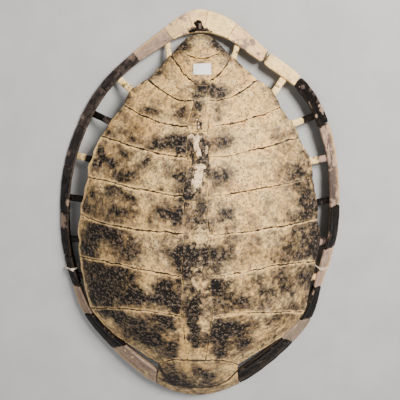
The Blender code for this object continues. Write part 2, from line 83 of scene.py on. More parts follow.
# %% Joints of the plates
STRIP = np.array([
    (-307, -29, 13), (-192, -37, 23), (-178, -41, 27), (-96, -34, 20), (-82, -37, 24),
    (-7, -31, 15), (6, -34, 19), (72, -31, 13), (81, -35, 17), (141, -23, 13),
    (157, -27, 18), (206, -24, 15), (215, -27, 18), (243, -17, 15), (266, -14, 19),
    (270, -12, 17), (297, -11, 15)], float)
MIDDLE_JOINTS = [-307, -192, -96, -7, 72, 141, 206, 243, 270, 297]
PLATE_JOINTS = [-307, -178, -82, 6, 81, 157, 215, 266, 297]
FRONT_EDGE = {
    "left": [(-29, -307), (-64, -313), (-97, -333), (-125, -315), (-155, -298),
             (-190, -277), (-225, -249)],
    "right": [(13, -307), (52, -313), (89, -337), (118, -318), (148, -298),
              (184, -280), (217, -250)]}
PLATE_LINES = {
    "left": [[(-41, -178), (-106, -175), (-175, -184), (-253, -213)],
             [(-37, -82), (-103, -77), (-181, -75), (-271, -87)],
             [(-34, 6), (-102, 9), (-178, 8), (-263, 15)],
             [(-35, 81), (-102, 87), (-167, 94), (-243, 99)],
             [(-27, 157), (-86, 160), (-146, 173), (-211, 186)],
             [(-27, 215), (-72, 219), (-115, 231), (-161, 252)],
             [(-14, 266), (-44, 267), (-73, 278), (-108, 304)],
             [(-11, 297), (-24, 309), (-38, 324), (-62, 355)]],
    "right": [[(27, -178), (85, -178), (157, -189), (242, -222)],
              [(24, -82), (84, -79), (165, -76), (259, -97)],
              [(19, 6), (88, 7), (165, 9), (257, 6)],
              [(17, 81), (81, 86), (155, 94), (241, 97)],
              [(18, 157), (75, 159), (137, 172), (209, 185)],
              [(18, 215), (68, 220), (119, 231), (169, 248)],
              [(19, 266), (46, 267), (76, 277), (119, 303)],
              [(15, 297), (27, 307), (40, 318), (67, 352)]]}
BULGE = {
    "left": [(0, 1, 2, 2, 3, 3, 3, 3, 4), (4, 4, 5, 5, 5, 2, 6, 4, 2), (2, 5, 6, 3, 8, 9, 7, 4, 2),
             (2, 5, 6, 3, 1, 4, 4, 2, 1), (1, 6, 10, 8, 5, 8, 7, 5, 3), (3, 3, 3, 4, 5, 4, 4, 4, 4),
             (4, 8, 11, 13, 14, 12, 9, 8, 5), (5, 4, 3, 3, 3, 3, 3, 3, 3)],
    "right": [(0, 0, 1, 1, 2, 2, 2, 2, 2), (2, 4, 4, 3, 2, 2, 5, 4, 3),
              (3, 6, 9, 11, 12, 12, 9, 4, 2), (2, 5, 8, 8, 7, 7, 5, 4, 4),
              (4, 8, 11, 12, 12, 11, 7, 5, 3), (3, 6, 8, 7, 5, 5, 5, 4, 3),
              (3, 7, 10, 12, 13, 14, 13, 9, 5), (5, 4, 4, 3, 3, 3, 3, 3, 3)]}
RIB_SHARE = [0.65, 0.64, 0.42, 0.40, 0.42, 0.46, 0.46, 0.92]
RIB_STATION = {"left": [9.7, 8.65, 7.6, 6.65, 5.65, 4.6, 3.6, 2.15],
               "right": [9.7, 8.75, 7.8, 6.8, 5.75, 4.75, 3.65, 2.3]}
RIB_REACH = 5
BACK_JOINT = [(-47, 375), (-34, 362), (-11, 350), (13, 349), (38, 359), (49, 373)]
TIP_EDGE = [(-29, 392), (-17, 398), (-6, 400), (7, 400), (19, 398), (30, 390)]
LABEL_CORNERS = [(-14, 316), (23, 316), (23, 339), (-14, 338)]
TIE_STATION = {"left": 8.4, "right": 8.5}
STRING_RADIUS = 1.9
SPOOL_DEPTH = 27
SECTION_POINTS = 13
PLATE_THICK = 7
RIM_SHEET = 5
LIP_INSET_SIDE = 24
LIP_INSET_TAIL = 19
JOINT_GAP = 0.5
RIM_COUNT = len(RIM_POINTS)
print("joints round the rim", RIM_COUNT, "and across each side of the dome", len(PLATE_JOINTS))


# %% [markdown]
# A shell's outline is a smooth ring, and its dome falls away from one summit. A scaled ball
# would be too even, since a turtle's back is fuller at the sides and flatter toward the tail.
# So a closed spline runs through the joints of the rim, and the height over each point of the
# floor is one minus the squared share of the way from the summit to the rim, times a fullness.

# %% Outline and dome
def closed_spline(points):
    """Smooth closed curve through the points, by solving for its bend at each of them."""
    count = len(points)
    step = np.linalg.norm(np.roll(points, -1, 0) - points, axis=1)
    before = np.roll(step, 1)
    rows = np.arange(count)
    matrix = np.zeros((count, count))
    matrix[rows, (rows - 1) % count] = before
    matrix[rows, rows] = 2 * (before + step)
    matrix[rows, (rows + 1) % count] = step
    slope = (np.roll(points, -1, 0) - points) / step[:, None]
    bend = np.linalg.solve(matrix, 6 * (slope - np.roll(slope, 1, 0)))

    def at(t):
        t = np.atleast_1d(np.asarray(t, float)) % count
        low = np.minimum(t.astype(int), count - 1)
        high = (low + 1) % count
        length = step[low][:, None]
        part = (t - low)[:, None]
        rest = 1 - part
        return (rest * points[low] + part * points[high]
                + length ** 2 / 6 * ((rest ** 3 - rest) * bend[low]
                                     + (part ** 3 - part) * bend[high]))
    return at


def round_ring(values, t):
    """Value at a place on the rim, straight between the values at its joints."""
    return np.interp(np.asarray(t, float) % RIM_COUNT, np.arange(RIM_COUNT + 1),
                     np.append(values, values[0]))


rim_curve = closed_spline(RIM_POINTS)
fine_t = np.linspace(0, RIM_COUNT, 1040, endpoint=False)
fine_rim = rim_curve(fine_t)
fine_angle = np.arctan2(*(fine_rim - SUMMIT).T[::-1]) % (2 * np.pi)
by_angle = np.argsort(fine_angle)
ANGLES = fine_angle[by_angle]
RADII = np.linalg.norm(fine_rim - SUMMIT, axis=1)[by_angle]
EDGE_HEIGHTS = round_ring(LIFT, fine_t)[by_angle] + NOSE_HEIGHT
wide, long = np.ptp(fine_rim, axis=0).round()
print("outline", wide, "mm wide and", long, "mm long")

# %% [markdown]
# The dome is needed as a rule that gives a height for any point of the floor, because every
# plate, rib and stain is laid out flat first. A scan or a sculpted mesh would need a search for
# the height under each point. The formula gives it at once for a whole grid.

# %% Height of the dome
def dome(x, y):
    """Height of the outer surface over a point on the floor."""
    dx = x - SUMMIT[0]
    dy = y - SUMMIT[1]
    angle = np.arctan2(dy, dx) % (2 * np.pi)
    reach = np.interp(angle, ANGLES, RADII, period=2 * np.pi)
    edge = np.interp(angle, ANGLES, EDGE_HEIGHTS, period=2 * np.pi)
    toward = np.sin(angle)
    full = (FULL_SIDE + (FULL_TAIL - FULL_SIDE) * np.clip(toward, 0, 1) ** 3
            + (FULL_HEAD - FULL_SIDE) * np.clip(-toward, 0, 1) ** 3)
    share = (dx ** 2 + dy ** 2) / reach ** 2
    return edge + (SUMMIT_HEIGHT - edge) * (1 - share) * (1 + full * share)


def lifted(plan):
    """Points on the outer surface over points on the floor."""
    plan = np.asarray(plan, float)
    return np.concatenate([plan, dome(plan[..., 0], plan[..., 1])[..., None]], -1)


def outward(plan):
    """Direction straight out of the outer surface."""
    plan = np.asarray(plan, float)
    x, y = plan[..., 0], plan[..., 1]
    slope_x = (dome(x + 2, y) - dome(x - 2, y)) / 4
    slope_y = (dome(x, y + 2) - dome(x, y - 2)) / 4
    out = np.stack([-slope_x, -slope_y, np.ones_like(x)], -1)
    return out / np.linalg.norm(out, axis=-1, keepdims=True)


print("height at the middle", dome(0, 0).round(1), "mm")

# %% [markdown]
# Bone is never smooth: it has grain, pits and gentle swells. Image textures or a sculpting brush
# could give them. Lattice noise is used, because it needs no image and gives every point a
# number that changes gently from place to place. Several sizes of it make stains and grain.

# %% Noise
def cell_value(ix, iy, iz, seed):
    """Pseudo-random number from 0 to 1 for each whole-number cell."""
    mixed = (ix * 73856093) ^ (iy * 19349663) ^ (iz * 83492791) ^ (seed * 26544357)
    mixed = (mixed ^ (mixed >> 13)) * 1274126177
    mixed = mixed ^ (mixed >> 16)
    return (mixed & 0xFFFFFF) / 0xFFFFFF


def noise(points, size, seed=0):
    """Smooth noise from -1 to 1 whose bumps are about size apart."""
    place = np.asarray(points, float) / size
    low = np.floor(place).astype(np.int64)
    part = place - low
    part = part * part * (3 - 2 * part)
    total = 0
    for corner in range(8):
        step = [(corner >> k) & 1 for k in range(3)]
        weight = 1
        for k in range(3):
            weight = weight * (part[..., k] if step[k] else 1 - part[..., k])
        cell = [low[..., k] + step[k] for k in range(3)]
        total = total + weight * cell_value(*cell, seed)
    return total * 2 - 1


def rough(points, size, seed=0, octaves=4):
    """Noise at several sizes, each half as large and a little more than half as strong."""
    total = 0
    strength = 1
    whole = 0
    for k in range(octaves):
        total = total + strength * noise(points, size / 2 ** k, seed + 17 * k)
        whole += strength
        strength *= 0.6
    return total / whole


def unit(vectors):
    """The same directions with length one."""
    return vectors / np.linalg.norm(vectors, axis=-1, keepdims=True)


def ease(value, low, high):
    """Smooth step from 0 at low to 1 at high."""
    share = np.clip((value - low) / (high - low), 0, 1)
    return share * share * (3 - 2 * share)


def pits(points, size, seed=0):
    """Round hollows scattered one to a cell: 1 at the middle of a hollow and 0 outside it."""
    place = np.asarray(points, float) / size
    low = np.floor(place).astype(np.int64)
    best = np.zeros(place.shape[:-1])
    for dx in (-1, 0, 1):
        for dy in (-1, 0, 1):
            cx, cy = low[..., 0] + dx, low[..., 1] + dy
            zero = np.zeros_like(cx)
            mid_x = cx + cell_value(cx, cy, zero, seed)
            mid_y = cy + cell_value(cx, cy, zero, seed + 1)
            radius = 0.12 + 0.22 * cell_value(cx, cy, zero, seed + 2) ** 2
            away = np.hypot(place[..., 0] - mid_x, place[..., 1] - mid_y)
            best = np.maximum(best, np.clip(1 - away / radius, 0, 1))
    return ease(best, 0, 1)


spots = np.random.default_rng(1).uniform(0, 500, (2000, 3))
print("noise from", rough(spots, 20).min().round(2), "to", rough(spots, 20).max().round(2))

# %% [markdown]
# Few real edges on a bone are straight. Drawn curves could be used. Here a handful of points
# is joined by a line that is then softened, and a toothed wave is added where two plates meet,
# because the teeth of a bone joint are uneven and follow one another along the whole line.

# %% Bent lines and toothed joints
def bent_line(points, s):
    """Gently bent line through four points, at shares s of the way along it."""
    points = np.asarray(points, float)
    knots = np.linspace(0, 1, len(points))
    out = np.zeros((len(s), 2))
    for i, knot in enumerate(knots):
        weight = np.ones(len(s))
        for j, other in enumerate(knots):
            if j != i:
                weight *= (s - other) / (knot - other)
        out += weight[:, None] * points[i]
    return out


def soft_line(points, s, blur=0.03):
    """Line through the points with its corners rounded off, at shares s of the way."""
    points = np.asarray(points, float)
    knots = np.linspace(0, 1, len(points))
    offsets = np.linspace(-blur, blur, 9)[:, None]
    reach = np.minimum(np.minimum(s, 1 - s), blur) / blur
    where = s + offsets * reach
    return np.stack([np.interp(where, knots, points[:, k]).mean(0) for k in (0, 1)], 1)


def strip_edge(y, side):
    """Edge of the middle row at a place along the shell."""
    return np.interp(y, STRIP[:, 0], STRIP[:, 1 if side == "left" else 2])


def graded(count, length):
    """Shares from 0 to 1 that crowd together near both ends, where edges are rounded."""
    near = np.array([0, 0.25, 0.6, 1.1, 1.8])
    length = np.atleast_1d(length)
    ends = near[:, None] / length
    inner = np.linspace(0, 1, max(count, 4))[1:-1, None]
    middle = ends[-1] + inner * (1 - 2 * ends[-1])
    return np.concatenate([ends, middle, 1 - ends[::-1]])


def joint_wave(line, seed, strength=1.0):
    """Sideways wander of a bone joint, shared by the bones on its two sides.

    Broad slow waves carry fine zigzag teeth, and the teeth are longer near the middle row.
    """
    along = np.concatenate([[0], np.cumsum(np.linalg.norm(np.diff(line, axis=0), axis=1))])
    spot = np.stack([along, 0 * along, 0 * along], 1)
    teeth = noise(spot, 4.2, seed) * (0.55 + 1.0 * np.exp(-along / 30.0))
    slow = noise(spot, 17, seed + 5) * 1.5
    fade = np.clip(along / 6, 0, 1) * np.clip((along[-1] - along) / 6, 0, 1)
    direction = np.gradient(line, axis=0)
    direction /= np.linalg.norm(direction, axis=1, keepdims=True) + 1e-9
    side = np.stack([-direction[:, 1], direction[:, 0]], 1)
    return line + side * ((teeth + slow) * fade * strength)[:, None]


straight = np.stack([np.linspace(0, 100, 400), np.zeros(400)], 1)
print("a joint wanders by", np.abs(joint_wave(straight, 1)[:, 1]).max().round(1), "mm")

# %% [markdown]
# Each bone is a closed skin. It could be cut from a block or built face by face. It is a grid of
# points that is wrapped into a closed mesh, which keeps the faces even and the code short.
# Numbers that the materials need, such as how stained a point is, are stored with the points as
# named attributes.

# %% Piece with its materials
materials = {}
made_pieces = []


def make_piece(name, parts, nodes):
    """One object from several closed meshes: points, faces, attributes and a material each."""
    points = np.concatenate([part["points"] for part in parts])
    face_list = []
    start = 0
    for part in parts:
        face_list.append(part["faces"] + start)
        start += len(part["points"])
    faces = np.concatenate(face_list)
    mesh = bpy.data.meshes.new(name)
    mesh.vertices.add(len(points))
    mesh.vertices.foreach_set("co", ((points + CENTRE) * MM).astype(np.float32).ravel())
    mesh.loops.add(faces.size)
    mesh.loops.foreach_set("vertex_index", faces.astype(np.int32).ravel())
    mesh.polygons.add(len(faces))
    mesh.polygons.foreach_set("loop_start", np.arange(0, faces.size, 4, dtype=np.int32))
    slots = []
    which = []
    for part in parts:
        if part["material"] not in slots:
            slots.append(part["material"])
        which.append(np.full(len(part["faces"]), slots.index(part["material"])))
    mesh.update(calc_edges=True)
    for key in slots:
        mesh.materials.append(materials[key])
    mesh.polygons.foreach_set("material_index", np.concatenate(which).astype(np.int32))
    mesh.polygons.foreach_set("use_smooth", np.ones(len(faces), bool))
    names = sorted({key for part in parts for key in part["data"]})
    for key in names:
        values = [np.broadcast_to(part["data"].get(key, 0.0), (len(part["points"]),))
                  if key != "tint" else part["data"].get(key, np.ones((len(part["points"]), 3)))
                  for part in parts]
        values = np.concatenate(values)
        if key == "tint":
            layer = mesh.attributes.new("tint", "FLOAT_COLOR", "POINT")
            colour = np.concatenate([values, np.ones((len(values), 1))], 1)
            layer.data.foreach_set("color", colour.astype(np.float32).ravel())
        else:
            layer = mesh.attributes.new(key, "FLOAT", "POINT")
            layer.data.foreach_set("value", values.astype(np.float32))
    uv = np.concatenate([part["uv"] for part in parts]) * 0.01
    layer = mesh.uv_layers.new(name="UVMap")
    layer.data.foreach_set("uv", uv[faces.ravel()].astype(np.float32).ravel())
    mesh.validate()
    made = bpy.data.objects.new(name, mesh)
    bpy.context.scene.collection.objects.link(made)
    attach(made, "root")
    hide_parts(*nodes)
    made_pieces.append(made)
    return made


print("pieces so far", len(made_pieces))

# %% [markdown]
# Two kinds of skin are enough: a slab with an upper and an under grid for plates, and a tube of
# rings for ribs, rim bones and string. Solid modelling with cuts would also do it. Grids are
# used, because the stored numbers then keep the same order as the points.

# %% Slabs and tubes
def grid_faces(rows, columns, closed=False):
    """Four-sided faces of a grid of points; closed joins the last column to the first."""
    index = np.arange(rows * columns).reshape(rows, columns)
    right = np.roll(index, -1, 1)
    if not closed:
        index, right = index[:, :-1], right[:, :-1]
    return np.stack([index[:-1], right[:-1], right[1:], index[1:]], -1).reshape(-1, 4)


def slab(top, under, data_top, data_under, uv, material, material_under):
    """Closed slab from an upper and a lower grid, as two parts that share their rim points."""
    rows, columns = top.shape[:2]
    upper = grid_faces(rows, columns)
    loop = np.concatenate([np.arange(columns), np.arange(1, rows) * columns + columns - 1,
                           (rows - 1) * columns + np.arange(columns - 2, -1, -1),
                           np.arange(rows - 2, 0, -1) * columns])
    ahead = np.roll(loop, -1)
    count = rows * columns
    wall = np.stack([loop, loop + count, ahead + count, ahead], -1)
    points = np.concatenate([top.reshape(-1, 3), under.reshape(-1, 3)])
    turned = upper[:, ::-1] + count
    data = {}
    for key in data_top:
        flat = [np.asarray(source[key]).reshape(count, -1) for source in (data_top, data_under)]
        joined = np.concatenate(flat)
        data[key] = joined if joined.shape[1] == 3 else joined[:, 0]
    both = np.concatenate([uv.reshape(-1, 2), uv.reshape(-1, 2)])
    shared = {"points": points, "uv": both, "data": data}
    empty = {"points": np.zeros((0, 3)), "uv": np.zeros((0, 2)), "data": {}}
    first = {**shared, "faces": np.concatenate([upper, wall]), "material": material}
    second = {**empty, "faces": turned - len(points), "material": material_under}
    return [first, second]


def tube(rings, data, uv, material):
    """Closed tube through rings of points, with its two ends closed."""
    count, around = rings.shape[:2]
    faces = grid_faces(count, around, closed=True)
    points = rings.reshape(-1, 3)
    caps = []
    half = around // 2
    for start, flip in ((0, True), ((count - 1) * around, False)):
        low = start + np.arange(half)
        high = start + (around - 1 - np.arange(half))
        quad = np.stack([low[:-1], low[1:], high[1:], high[:-1]], -1)
        caps.append(quad[:, ::-1] if flip else quad)
    faces = np.concatenate([faces] + caps)
    flat = {}
    for key, value in data.items():
        value = np.asarray(value)
        flat[key] = value.reshape(-1, 3) if value.ndim == 3 else value.reshape(-1)
    return {"points": points, "faces": faces, "data": flat, "uv": uv.reshape(-1, 2),
            "material": material}


def grid_normals(points):
    """Direction out of a tube's surface at each point of its rings."""
    around = np.roll(points, -1, 1) - np.roll(points, 1, 1)
    along = np.gradient(points, axis=0)
    out = np.cross(around, along)
    return out / (np.linalg.norm(out, axis=-1, keepdims=True) + 1e-9)


def line_frame(centres, up):
    """Directions across a line and up from it, square to the line and to each other."""
    along = unit(np.gradient(centres, axis=0))
    across = unit(np.cross(up, along))
    return across, np.cross(along, across)


def loft(centres, across, up, wide, tall):
    """Rings round a line: at each ring and angle, wide and tall scale its two directions."""
    return centres[:, None] + wide[..., None] * across[:, None] + tall[..., None] * up[:, None]


def tube_uv(lengthwise, around):
    """Texture places of a tube: one number for each ring and one for each point round it."""
    return np.stack(np.meshgrid(lengthwise, around, indexing="ij"), -1)


print("a grid of 3 by 4 points has", len(grid_faces(3, 4)), "faces")

# %% [markdown]
# Old skin and soil have stained the shell in patches: black on the left and toward the head,
# nearly clean toward the tail on the right. The patches could be painted by hand. They are soft
# ovals, each with a middle, two radii and a strength, because such numbers are easy to move.
# Negative strengths are bleached bands, and one pale oval is a painted highlight. Noise pushes the
# ovals out of shape.

# %% Stains on the plates
STAINS_AND_HIGHLIGHT = np.array([
    (33, 280, 17, 13, 1.5), (6, 284, 14, 12, 1.1), (-5, 262, 12, 24, 0.9),
    (-32, 78, 8, 8, 0.9), (10, 62, 8, 12, 0.8), (14, 151, 5, 20, 0.9), (-60, 182, 34, 13, 0.9),
    (-38, 385, 10, 20, 0.9), (46, 378, 10, 20, 0.9),
    (-105, 245, 20, 10, 0.5), (-35, 240, 15, 10, 0.5), (-85, 315, 15, 10, 0.5),
    (-70, 335, 10, 10, 0.5), (-135, 185, 10, 5, 0.7), (-55, 180, 30, 10, 0.75),
    (-30, 185, 15, 10, 0.6), (-105, 170, 15, 5, 0.6), (-110, 140, 15, 10, 0.75),
    (-212, 152, 9, 14, 1.2), (-198, 138, 12, 9, 0.9), (-225, 126, 10, 12, 1.1),
    (-170, 115, 20, 10, 0.75),
    (-140, 115, 15, 10, 0.6), (-155, 150, 15, 15, 0.45), (-35, 120, 20, 15, 0.75),
    (-20, 95, 10, 15, 0.8), (-180, 80, 20, 10, 0.85), (-140, 70, 20, 10, 0.85),
    (-225, 70, 15, 10, 0.5), (-80, 90, 5, 5, 0.6), (42, 122, 20, 14, 0.95),
    (53, 186, 22, 12, 1.05), (155, 190, 15, 10, 0.4), (35, 245, 10, 10, 0.4),
    (35, 225, 5, 5, 0.5), (210, 120, 30, 30, 0.35), (200, 90, 35, 20, 0.45),
    (225, 65, 25, 15, 0.5), (185, 110, 20, 10, 0.3), (-185, 195, 25, 10, 0.4),
    (40, 385, 15, 10, 0.5), (-25, 370, 15, 10, 0.4), (-80, 45, 25, 15, 0.6),
    (-45, 45, 20, 25, 0.75), (-175, 40, 45, 15, 0.6), (0, 65, 10, 15, 0.6),
    (50, 46, 14, 12, 1.0), (65, 10, 10, 15, 0.5), (-225, -15, 30, 20, 0.95),
    (-175, -5, 20, 15, 0.75), (-255, -60, 20, 15, 0.95), (-145, -35, 35, 20, 0.55),
    (-65, -35, 15, 10, 0.7), (-30, -25, 10, 20, 0.95), (-15, -45, 15, 15, 0.95),
    (-35, -60, 15, 10, 0.9), (20, -35, 10, 15, 0.95), (55, -35, 15, 15, 0.6),
    (-230, -100, 40, 15, 0.95), (-170, -95, 35, 15, 0.75), (-230, -160, 35, 30, 0.98),
    (-170, -140, 35, 20, 0.95), (-125, -145, 25, 15, 0.8), (-75, -125, 15, 20, 0.95),
    (-50, -145, 20, 20, 0.85), (-80, -110, 10, 10, 0.8), (35, -125, 15, 15, 0.95),
    (85, -150, 20, 15, 0.9), (30, -100, 10, 10, 0.7), (120, -100, 25, 10, 0.55),
    (60, -100, 10, 10, 0.7), (180, -140, 15, 25, 0.45), (-185, -205, 35, 20, 0.85),
    (-135, -240, 35, 30, 0.8), (-75, -195, 20, 15, 0.95), (-65, -270, 20, 20, 0.85),
    (-110, -255, 25, 20, 0.85), (35, -225, 20, 30, 0.98), (80, -215, 35, 15, 0.9),
    (45, -285, 10, 25, 0.9), (95, -260, 20, 20, 0.65), (-15, -225, 10, 60, 0.7),
    (-70, -370, 20, 40, 0.95), (0, -345, 10, 15, 0.7), (20, -380, 15, 30, 0.6),
    (260, -45, 10, 50, 0.8), (215, -30, 55, 55, 0.3), (-255, 40, 15, 15, 0.8),
    (-115, 40, 10, 30, -0.5), (-110, -20, 15, 35, -0.5), (-110, -85, 15, 35, -0.5),
    (-8, -165, 10, 60, 0.6), (10, -200, 8, 30, -0.8), (-35, -235, 10, 60, -0.8),
    (-5, -285, 20, 15, -0.9),
    (-5, 180, 5, 15, -0.6), (-5, 120, 10, 15, -0.8), (65, 345, 10, 10, 0.3),
    # The pale oval at (80, 170) is a painted highlight: paler bone where the light falls on the
    # dome.
    (80, 170, 35, 25, -0.3), (-80, 205, 30, 15, -0.2), (105, 245, 45, 30, -0.2),
    (-35, -405, 50, 15, 0.8), (-240, 95, 15, 10, 0.2), (225, 25, 25, 20, 0.35),
    (135, 40, 25, 20, 0.15), (220, -115, 30, 20, 0.35), (110, -200, 25, 15, -0.4)])
GRIME = np.array([
    (-190, 50, 110, 130, 0.47), (-180, -90, 120, 80, 0.48), (-150, -210, 130, 90, 0.54),
    (240, 40, 50, 120, 0.66), (195, -130, 95, 75, 0.68), (150, -220, 120, 50, 0.55),
    (-30, 60, 40, 190, 0.36), (-20, -180, 60, 150, 0.38), (25, 20, 30, 150, 0.40),
    (-15, -385, 110, 60, 0.40), (-120, 210, 90, 70, 0.38), (180, 175, 60, 50, 0.32),
    (75, -270, 90, 60, 0.36), (0, 350, 40, 40, 0.30), (90, -40, 60, 70, 0.28),
    (235, -30, 55, 90, 0.30), (150, -110, 90, 60, 0.22)])


print("stains", len(STAINS_AND_HIGHLIGHT), "and grimy areas", len(GRIME))

# %% [markdown]
# A stain's strength at a point is the sum of the ovals that reach it, pushed about by noise.
# Painting on a texture would need an image. The sum works on any grid, so the left and right
# plates of a joint get the same stain along it.

# %% Stain at a point
def ovals(table, points, fall):
    """Sum of soft ovals at each point: middle, two radii and strength in each row."""
    total = np.zeros(points.shape[:-1])
    for mid_x, mid_y, wide, long, strength in table:
        away = ((points[..., 0] - mid_x) / wide) ** 2 + ((points[..., 1] - mid_y) / long) ** 2
        near = away < 12
        total[near] += strength * np.exp(-fall * away[near])
    return total


def stain_at(points):
    """How stained the outer surface is, from about 0 for clean bone to 1 for black.

    The ovals are warped by noise. Grime, a broad field, sets both the general tone and how
    strongly the coarse and fine mottling show.
    """
    warp = np.stack([rough(points, 26, 3, 4) * 12, rough(points, 26, 4, 4) * 9], -1)
    moved = points.copy()
    moved[..., :2] += warp
    spots = ovals(STAINS_AND_HIGHLIGHT, moved, 0.8)
    grime = np.clip(ovals(GRIME, moved, 0.6), 0, 1)
    coarse = rough(points, 34, 8, 3)
    medium = rough(points, 13, 12, 3)
    fine = rough(points, 6.5, 13, 2)
    broad = np.clip(ovals(STAINS_AND_HIGHLIGHT, moved, 0.42), 0, 1)
    thin = np.clip(spots, 0, 1) * (0.92 + 0.30 * medium + 0.25 * fine)
    ground = 0.08 + 0.37 * grime
    mottle = coarse * (0.22 + 0.34 * grime) + medium * (0.15 + 0.19 * grime)
    mottle = mottle + fine * (0.20 + 0.16 * grime)
    return np.clip(spots, -1, 0) * 0.6 + thin * 0.64 + broad * 0.17 + ground + mottle


clean, dark = stain_at(lifted([[[80, 170], [-230, -160]]]))[0]
print("stain at a clean place", clean.round(2), "and at a dark one", dark.round(2))

# %% [markdown]
# Along the middle row the outer layer has flaked off in chalky patches with dark undercut edges.
# They could be small meshes of their own. They are two more numbers at each point, one for the
# flake and one for the crack round it, since a flake is thinner than a plate's own relief.


# %% Flaked patches
def middle_band(points, wide):
    """How close a point is to the middle row, faded out toward both ends."""
    across = points[..., 0] + 7 + rough(points, 34, 21, 2) * 10
    band = np.exp(-(across / wide) ** 4) * ease(points[..., 1], -335, -290)
    return band * (1 - ease(points[..., 1], 180, 225))


FLAKES = [(-5, 178, 8, 26, 0.0, 0.9), (-5, 119, 10, 23, 0.3, 0.9), (-27, 184, 5, 18, 0.75, 0.75),
          (9, 160, 4, 13, 0.3, 0.7), (1, -8, 13, 28, 0.0, 0.22), (1, -50, 10, 18, 0.0, 0.4),
          (-221, 133, 6, 4, 0.0, 0.8), (-212, 153, 3, 6, 0.3, 0.6)]


def flakes_at(points):
    """White flaked patches of the middle row, and the dark undercut crack round each.

    Each patch is an oval given by its middle, half width, half length, lean and whiteness.
    Noise bites into its edge, and the crack is a ring outside it, widest toward the head.
    """
    x, y = points[..., 0], points[..., 1]
    bite = rough(points * np.array([1.0, 0.7, 1.0]), 8, 23, 4) * 1.75
    hole = ease(rough(points, 7, 27, 3), 0.20, 0.32)
    flake = np.zeros(x.shape)
    crack = np.zeros(x.shape)
    for mid_x, mid_y, wide, long, lean, white in FLAKES:
        along = y - mid_y
        away = np.hypot((x - mid_x - lean * along) / wide, along / long) + bite
        flake = np.maximum(flake, white * ease(away, 1.02, 0.88))
        broad = 0.25 + 0.25 * ease(mid_y - y, 0, long) + 0.15 * ease(x - mid_x, 0, wide)
        ring = np.exp(-((away - 1.25) / broad) ** 2) * (away > 1.0)
        crack = np.maximum(crack, ring * (0.35 + 0.65 * white))
    loose = rough(points * np.array([1.0, 0.6, 1.0]), 12, 24, 4) + 0.02
    band = middle_band(points, 17) * 0.35
    flake = np.maximum(flake, ease(loose, 0.20, 0.30) * band)
    crack = np.maximum(crack, hole * flake)
    flake = flake * (1 - hole)
    crack = np.maximum(crack, np.exp(-((loose - 0.14) / 0.07) ** 2) * band)
    return flake, crack * (1 - flake)


print("flaked patches", len(FLAKES))

# %% [markdown]
# The bones meet in toothed joints packed with dark dust, plain in some places and faint in
# others. An even bevel would give an even line. Small functions say how plainly a joint shows
# and how wide its dust is at each point, so a joint can fade and swell along its way.


# %% Dust in the joints
HEAD_GROOVE = [(-97, -340), (-89, -365), (-76, -390), (-58, -408), (-33, -417),
               (4, -420), (41, -415), (67, -399), (87, -364)]


def joint_strength(points):
    """How plainly a joint shows: faint in the middle row and broken into dots in places."""
    right = points[..., 0] > 0
    away = ease(np.abs(points[..., 0] + 7), 12, np.where(right, 120, 40))
    broken = ease(rough(points, 15, 95, 3), -0.40, 0.0)
    left = ease(-points[..., 0], -20, 40)
    broken = broken * (1 - 0.5 * left) + 0.5 * left
    tail = np.maximum(ease(points[..., 1], 240, 290), ease(-points[..., 1], 285, 305))
    broken = broken * (1 - tail) + tail
    least = np.where(right, 0.30, 0.62)
    return (least + (1 - least) * np.maximum(away, tail)) * (0.25 + 0.75 * broken)


def bead_width(points):
    """Half width of the dark filling of a joint, which swells into beads and toward the head."""
    beads = ease(rough(points, 8, 97, 2), -0.20, 0.45)
    return 0.9 + 1.5 * beads + 0.9 * ease(-points[..., 1], 290, 310)


def line_distance(points, line):
    """Distance on the floor from each point to a broken line."""
    line = np.asarray(line, float)
    best = np.full(points.shape[:-1], 1e9)
    for a, b in zip(line[:-1], line[1:]):
        way = b - a
        share = np.clip(((points[..., :2] - a) @ way) / (way @ way), 0, 1)
        away = points[..., :2] - (a + share[..., None] * way)
        best = np.minimum(best, np.hypot(away[..., 0], away[..., 1]))
    return best


print("the summit is", line_distance(SUMMIT, HEAD_GROOVE).round(), "mm from the head groove")

# %% [markdown]
# A plate is a curved sheet of bone 6 to 8 mm thick with rounded edges. It could be a bevelled
# solid. It is a grid over the floor lifted onto the dome, because grain, pits, flakes, a soft
# swell and the rolled edges can then all be added as heights.

# %% Plates of the dome
EDGE_RADIUS = 1.6


def rolled(distance, radius):
    """How far a rounded edge has dropped at a distance from the edge of the piece."""
    share = np.clip(1 - distance / radius, 0, 1)
    return radius * (1 - np.sqrt(np.clip(1 - share ** 2, 0, 1)))


def edge_distances(plan):
    """Distance of each grid point from the first and last row and the first and last column."""
    rows = np.linalg.norm(np.diff(plan, axis=0), axis=-1)
    down = np.concatenate([np.zeros_like(rows[:1]), np.cumsum(rows, 0)])
    columns = np.linalg.norm(np.diff(plan, axis=1), axis=-1)
    across = np.concatenate([np.zeros_like(columns[:, :1]), np.cumsum(columns, 1)], 1)
    return down, down[-1] - down, across, across[:, -1:] - across


def free_edge(down, up, left, right, sides):
    """Distance to the nearest edge that meets no other bone."""
    sources = {"first": down, "last": up, "left": left, "right": right}
    nearest = np.full_like(down, 1e3)
    for side in sides:
        nearest = np.minimum(nearest, sources[side])
    return nearest


print("an edge is rolled by", rolled(np.array([0.0, 0.8, 1.6]), EDGE_RADIUS).round(2), "mm")
